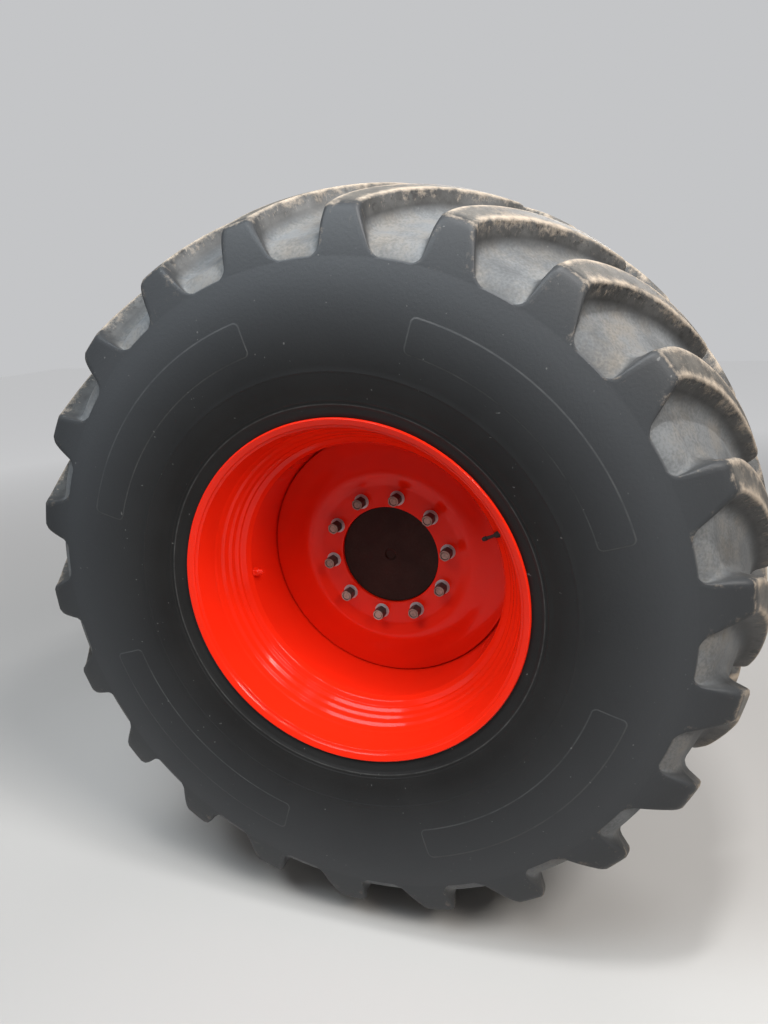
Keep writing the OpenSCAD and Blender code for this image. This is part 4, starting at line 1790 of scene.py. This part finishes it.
@dataclass
class ValveAndPlug:
    """The valve in its grommet and the small plug, which stand on the rim toward the axle."""

    place: WheelFrame
    valve_angle: float = 22.5
    valve_in: float = 148.0
    valve_foot_r: float = 364.0
    valve_l: float = 43.0
    stem_r: float = 4.0
    cap_l: float = 12.0
    grips: int = 16
    grip_depth: float = 0.2
    plug_angle: float = 184.0
    plug_in: float = 185.0
    plug_foot_r: float = 345.0
    plug_af: float = 22.8

    def axis(self, angle: float, inset: float, foot_r: float) -> Axis:
        """Give the axis of a piece that stands on the rim.

        Args:
            angle: Its angle above the forward direction.
            inset: Its distance from the rim's outboard edge.
            foot_r: Radius of its foot.

        Returns:
            The axis, with heights counted toward the axle.
        """
        turn = math.radians(angle)
        x, z = math.cos(turn), math.sin(turn)
        y = self.place.mid_y - self.place.rim_half + inset
        return Axis((foot_r * x, y, foot_r * z), (-x, 0.0, -z))

    @property
    def valve_axis(self) -> Axis:
        """The valve's axis."""
        return self.axis(self.valve_angle, self.valve_in, self.valve_foot_r)

    def build_stem(self) -> bpy.types.Object:
        """Build the valve's stem and grommet.

        Returns:
            The stem.
        """
        end = self.valve_l - self.cap_l
        profile = [(0, -8.0), (8.0, -8.0), (8.0, 3.5), (7.0, 8.0), (5.2, 12.0)]
        profile += [(self.stem_r, 14.0), (self.stem_r, end), (0, end)]
        return closed_piece("valve_stem_rubber", self.valve_axis.turned(capped(profile, 1.5), 40))

    def build_cap(self) -> bpy.types.Object:
        """Build the valve's cap, whose grip's radius swings with the cosine of the angle.

        Returns:
            The cap.
        """
        low, high = self.valve_l - self.cap_l, self.valve_l
        angle = round_angles(96)[None]
        height = np.array([low, low, low + 1, high - 4, high - 2.5, high - 0.8, high, high])
        radius = np.array([0.0, 4.6, 5.3, 5.3, 4.9, 4.4, 3.2, 0.0])[:, None]
        gripped = np.array([0, 0, 1, 1, 0, 0, 0, 0])[:, None]
        radius = radius + gripped * self.grip_depth * np.cos(self.grips * angle)
        grid = self.valve_axis.points(radius, height[:, None], angle)
        return closed_piece("valve_dust_cap", grid)

    def build_plug(self) -> bpy.types.Object:
        """Build the small plug: a round foot, a hexagon and a stub with a hole in its end.

        Returns:
            The plug.
        """
        angle = round_angles(72)
        foot = [(0, 0.3), (13.6, 0.3), (14, 0.7), (14, 4.4), (13.4, 5.0), (13.1, 5.0)]
        stub = [(9.6, 13.0), (8.9, 13.4), (8.5, 14.0), (8.5, 25.8), (7.5, 27.0), (4.0, 27.0)]
        stub += [(3.4, 26.4), (3.4, 19.3), (0, 19.3)]
        levels = np.array([5.0, 5.6, 12.0, 12.9])
        rounding = np.array([12.9, 12.9, 12.9, 11.8])[:, None]
        hexagon = np.minimum(hexagon_radius(self.plug_af, angle)[None], rounding)
        foot, stub = np.array(foot), np.array(stub)
        ends = [np.broadcast_to(part[:, :1], (len(part), 72)) for part in (foot, stub)]
        radius = np.vstack([ends[0], hexagon, ends[1]])
        height = np.concatenate([foot[:, 1], levels, stub[:, 1]])[:, None]
        axis = self.axis(self.plug_angle, self.plug_in, self.plug_foot_r)
        return closed_piece("rim_filling_plug", axis.points(radius, height, angle[None]))


# Camera, light and floor


@dataclass(frozen=True)
class Lamp:
    """A rectangular lamp that shines at the wheel."""

    name: str
    place: Point
    size: Pair
    power: float
    colour: Point = (1.0, 1.0, 1.0)
    aim: Point = (0.0, -0.4, 0.0)

    def hang(self) -> None:
        """Hang the lamp."""
        data = bpy.data.lights.new(self.name, "AREA")
        data.shape = "RECTANGLE"
        data.size, data.size_y = self.size
        data.energy = self.power
        data.color = self.colour
        lamp = add_object(self.name, data)
        lamp.location = self.place
        way = Vector(self.aim) - Vector(self.place)
        lamp.rotation_euler = way.to_track_quat("-Z", "Y").to_euler()


@dataclass(frozen=True)
class Studio:
    """The camera of the photograph, a pale floor and soft light, most from above on the right."""

    focus_px: float = 770.0
    frame_h_px: float = 1024.0
    sensor_mm: float = 36.0
    eye: Point = (0.6667, -2.3250, 0.7066)
    turn: Point = (-0.2887, -0.0037, 0.3368)
    floor_colour: Colour = (0.50, 0.485, 0.47, 1.0)
    floor_rough: float = 0.75
    floor_reach: float = 14.0
    floor_gap: float = 0.0005
    floor_fade: Pair = (2.0, 7.0)
    floor_glow: float = 0.8
    sky_colour: Colour = (0.92, 0.93, 0.95, 1.0)
    sky: float = 0.15
    backdrop: float = 0.60
    mirrored: float = 0.15
    lamps: tuple[Lamp, ...] = (
        Lamp("key_lamp", (3.0, -2.4, 2.9), (1.4, 1.4), 170.0, (1.0, 0.97, 0.93)),
        Lamp("top_lamp", (-0.9, -2.1, 2.9), (2.4, 1.8), 120.0, (0.86, 0.94, 1.0)),
        Lamp("strip_lamp", (0.9, -1.2, 2.4), (0.5, 0.07), 40.0),
        Lamp("left_lamp", (-3.0, -2.6, 1.3), (1.4, 1.9), 6.0),
        Lamp("back_lamp", (0.4, 3.0, 2.0), (2.4, 1.8), 70.0),
    )

    def camera(self) -> None:
        """Place the camera: it looks along +Y, turned about the rotation vector by its length."""
        data = bpy.data.cameras.new("view_camera")
        data.sensor_width = self.sensor_mm
        data.lens = self.focus_px / self.frame_h_px * self.sensor_mm
        camera = add_object("view_camera", data)
        spin = Vector(self.turn)
        rotation = Matrix.Rotation(spin.length, 4, spin.normalized())
        upright = Matrix.Rotation(math.radians(90), 4, "X")
        camera.matrix_world = Matrix.Translation(self.eye) @ rotation @ upright
        bpy.context.scene.camera = camera

    def floor(self, height: float) -> None:
        """Lay the floor, which the camera sees far off as bright as the backdrop.

        Args:
            height: The floor's height.
        """
        mesh = bpy.data.meshes.new("studio_floor")
        reach = self.floor_reach
        corners = ((-reach, -reach), (reach, -reach), (reach, reach), (-reach, reach))
        mesh.from_pydata([(x, y, height) for x, y in corners], [], [(0, 1, 2, 3)])
        material, shader, surface = start_material("pale_floor")
        surface["Base Color"].default_value = self.floor_colour
        surface["Roughness"].default_value = self.floor_rough
        surface["Emission Color"].default_value = self.sky_colour
        seen = shader.node("ShaderNodeLightPath").outputs["Is Camera Ray"]
        far = shader.span(shader.length(shader.place()), *self.floor_fade)
        far = shader.math("MULTIPLY", far, seen)
        glow = shader.math("MULTIPLY", far, self.backdrop * self.floor_glow)
        shader.put(surface["Emission Strength"], glow)
        mesh.materials.append(material)
        add_object("studio_floor", mesh)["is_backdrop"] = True

    def world(self) -> None:
        """Make the sky: faint on the wheel, and as bright as the backdrop where it is seen."""
        world = bpy.data.worlds.new("soft_sky")
        world.use_nodes = True
        bpy.context.scene.world = world
        shader = Shader(world.node_tree)
        background = next(n for n in world.node_tree.nodes if n.type == "BACKGROUND")
        background.inputs["Color"].default_value = self.sky_colour
        rays = shader.node("ShaderNodeLightPath").outputs
        glossy = shader.math("MULTIPLY", rays["Is Glossy Ray"], self.mirrored)
        seen = shader.math("MAXIMUM", rays["Is Camera Ray"], glossy)
        seen = shader.math("MAXIMUM", seen, rays["Is Transmission Ray"])
        strength = shader.span(seen, 0.0, 1.0, first=self.sky, last=self.backdrop)
        shader.put(background.inputs["Strength"], strength)

    def build(self, floor_height: float) -> None:
        """Set up the view.

        Args:
            floor_height: Height of the model's lowest point, which the floor lies just below.
        """
        bpy.context.scene.view_settings.view_transform = "Standard"
        self.camera()
        for lamp in self.lamps:
            lamp.hang()
        self.world()
        self.floor(floor_height - self.floor_gap)


def main() -> None:
    """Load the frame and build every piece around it."""
    logging.basicConfig(level=logging.INFO, format="%(message)s")
    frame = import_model()
    cad_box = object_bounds()
    LOG.info("frame with %d nodes", len(frame["nodes"]))
    Studio().build(cad_box[0].z)

    dresser = Dresser()
    place = WheelFrame.read()
    rim, disc, fittings = RimShape(place), Disc(place), ValveAndPlug(place)
    hub = Hub(place, disc.thickness)
    bolting = Bolting(place, disc.thickness, hub.flange_t)
    dresser.dress(Tyre(place, rim).build(), Slot.TYRE, "tyre")
    dresser.dress(rim.build(), Slot.PAINT, "rim")
    dresser.dress(disc.build_disc(), Slot.PAINT, "wheel_disc")
    dresser.dress(disc.build_weld(), Slot.PAINT, "disc_weld")
    for index in range(bolting.count):
        dresser.dress(bolting.build_nut(index), Slot.NUT, f"wheel_nut_{index + 1}")
    dresser.dress(bolting.build_washers(), Slot.ZINC, "nut_washers")
    dresser.dress(bolting.build_studs(), Slot.NUT, "wheel_studs")
    dresser.dress(hub.build_hub(), Slot.HUB, "hub")
    dresser.dress(hub.build_seal(), Slot.SEAL, "hub_seal")
    dresser.dress(fittings.build_stem(), Slot.SEAL, "valve_stem")
    dresser.dress(fittings.build_cap(), Slot.CAP, "valve_cap")
    dresser.dress(fittings.build_plug(), Slot.PAINT, "filling_plug")
    for node, slot in FRAME_SLOTS.items():
        dresser.coat(frame["nodes"][node].data, slot)
        LOG.info("%s: %s", node, slot.value)


if __name__ == "__main__":
    main()
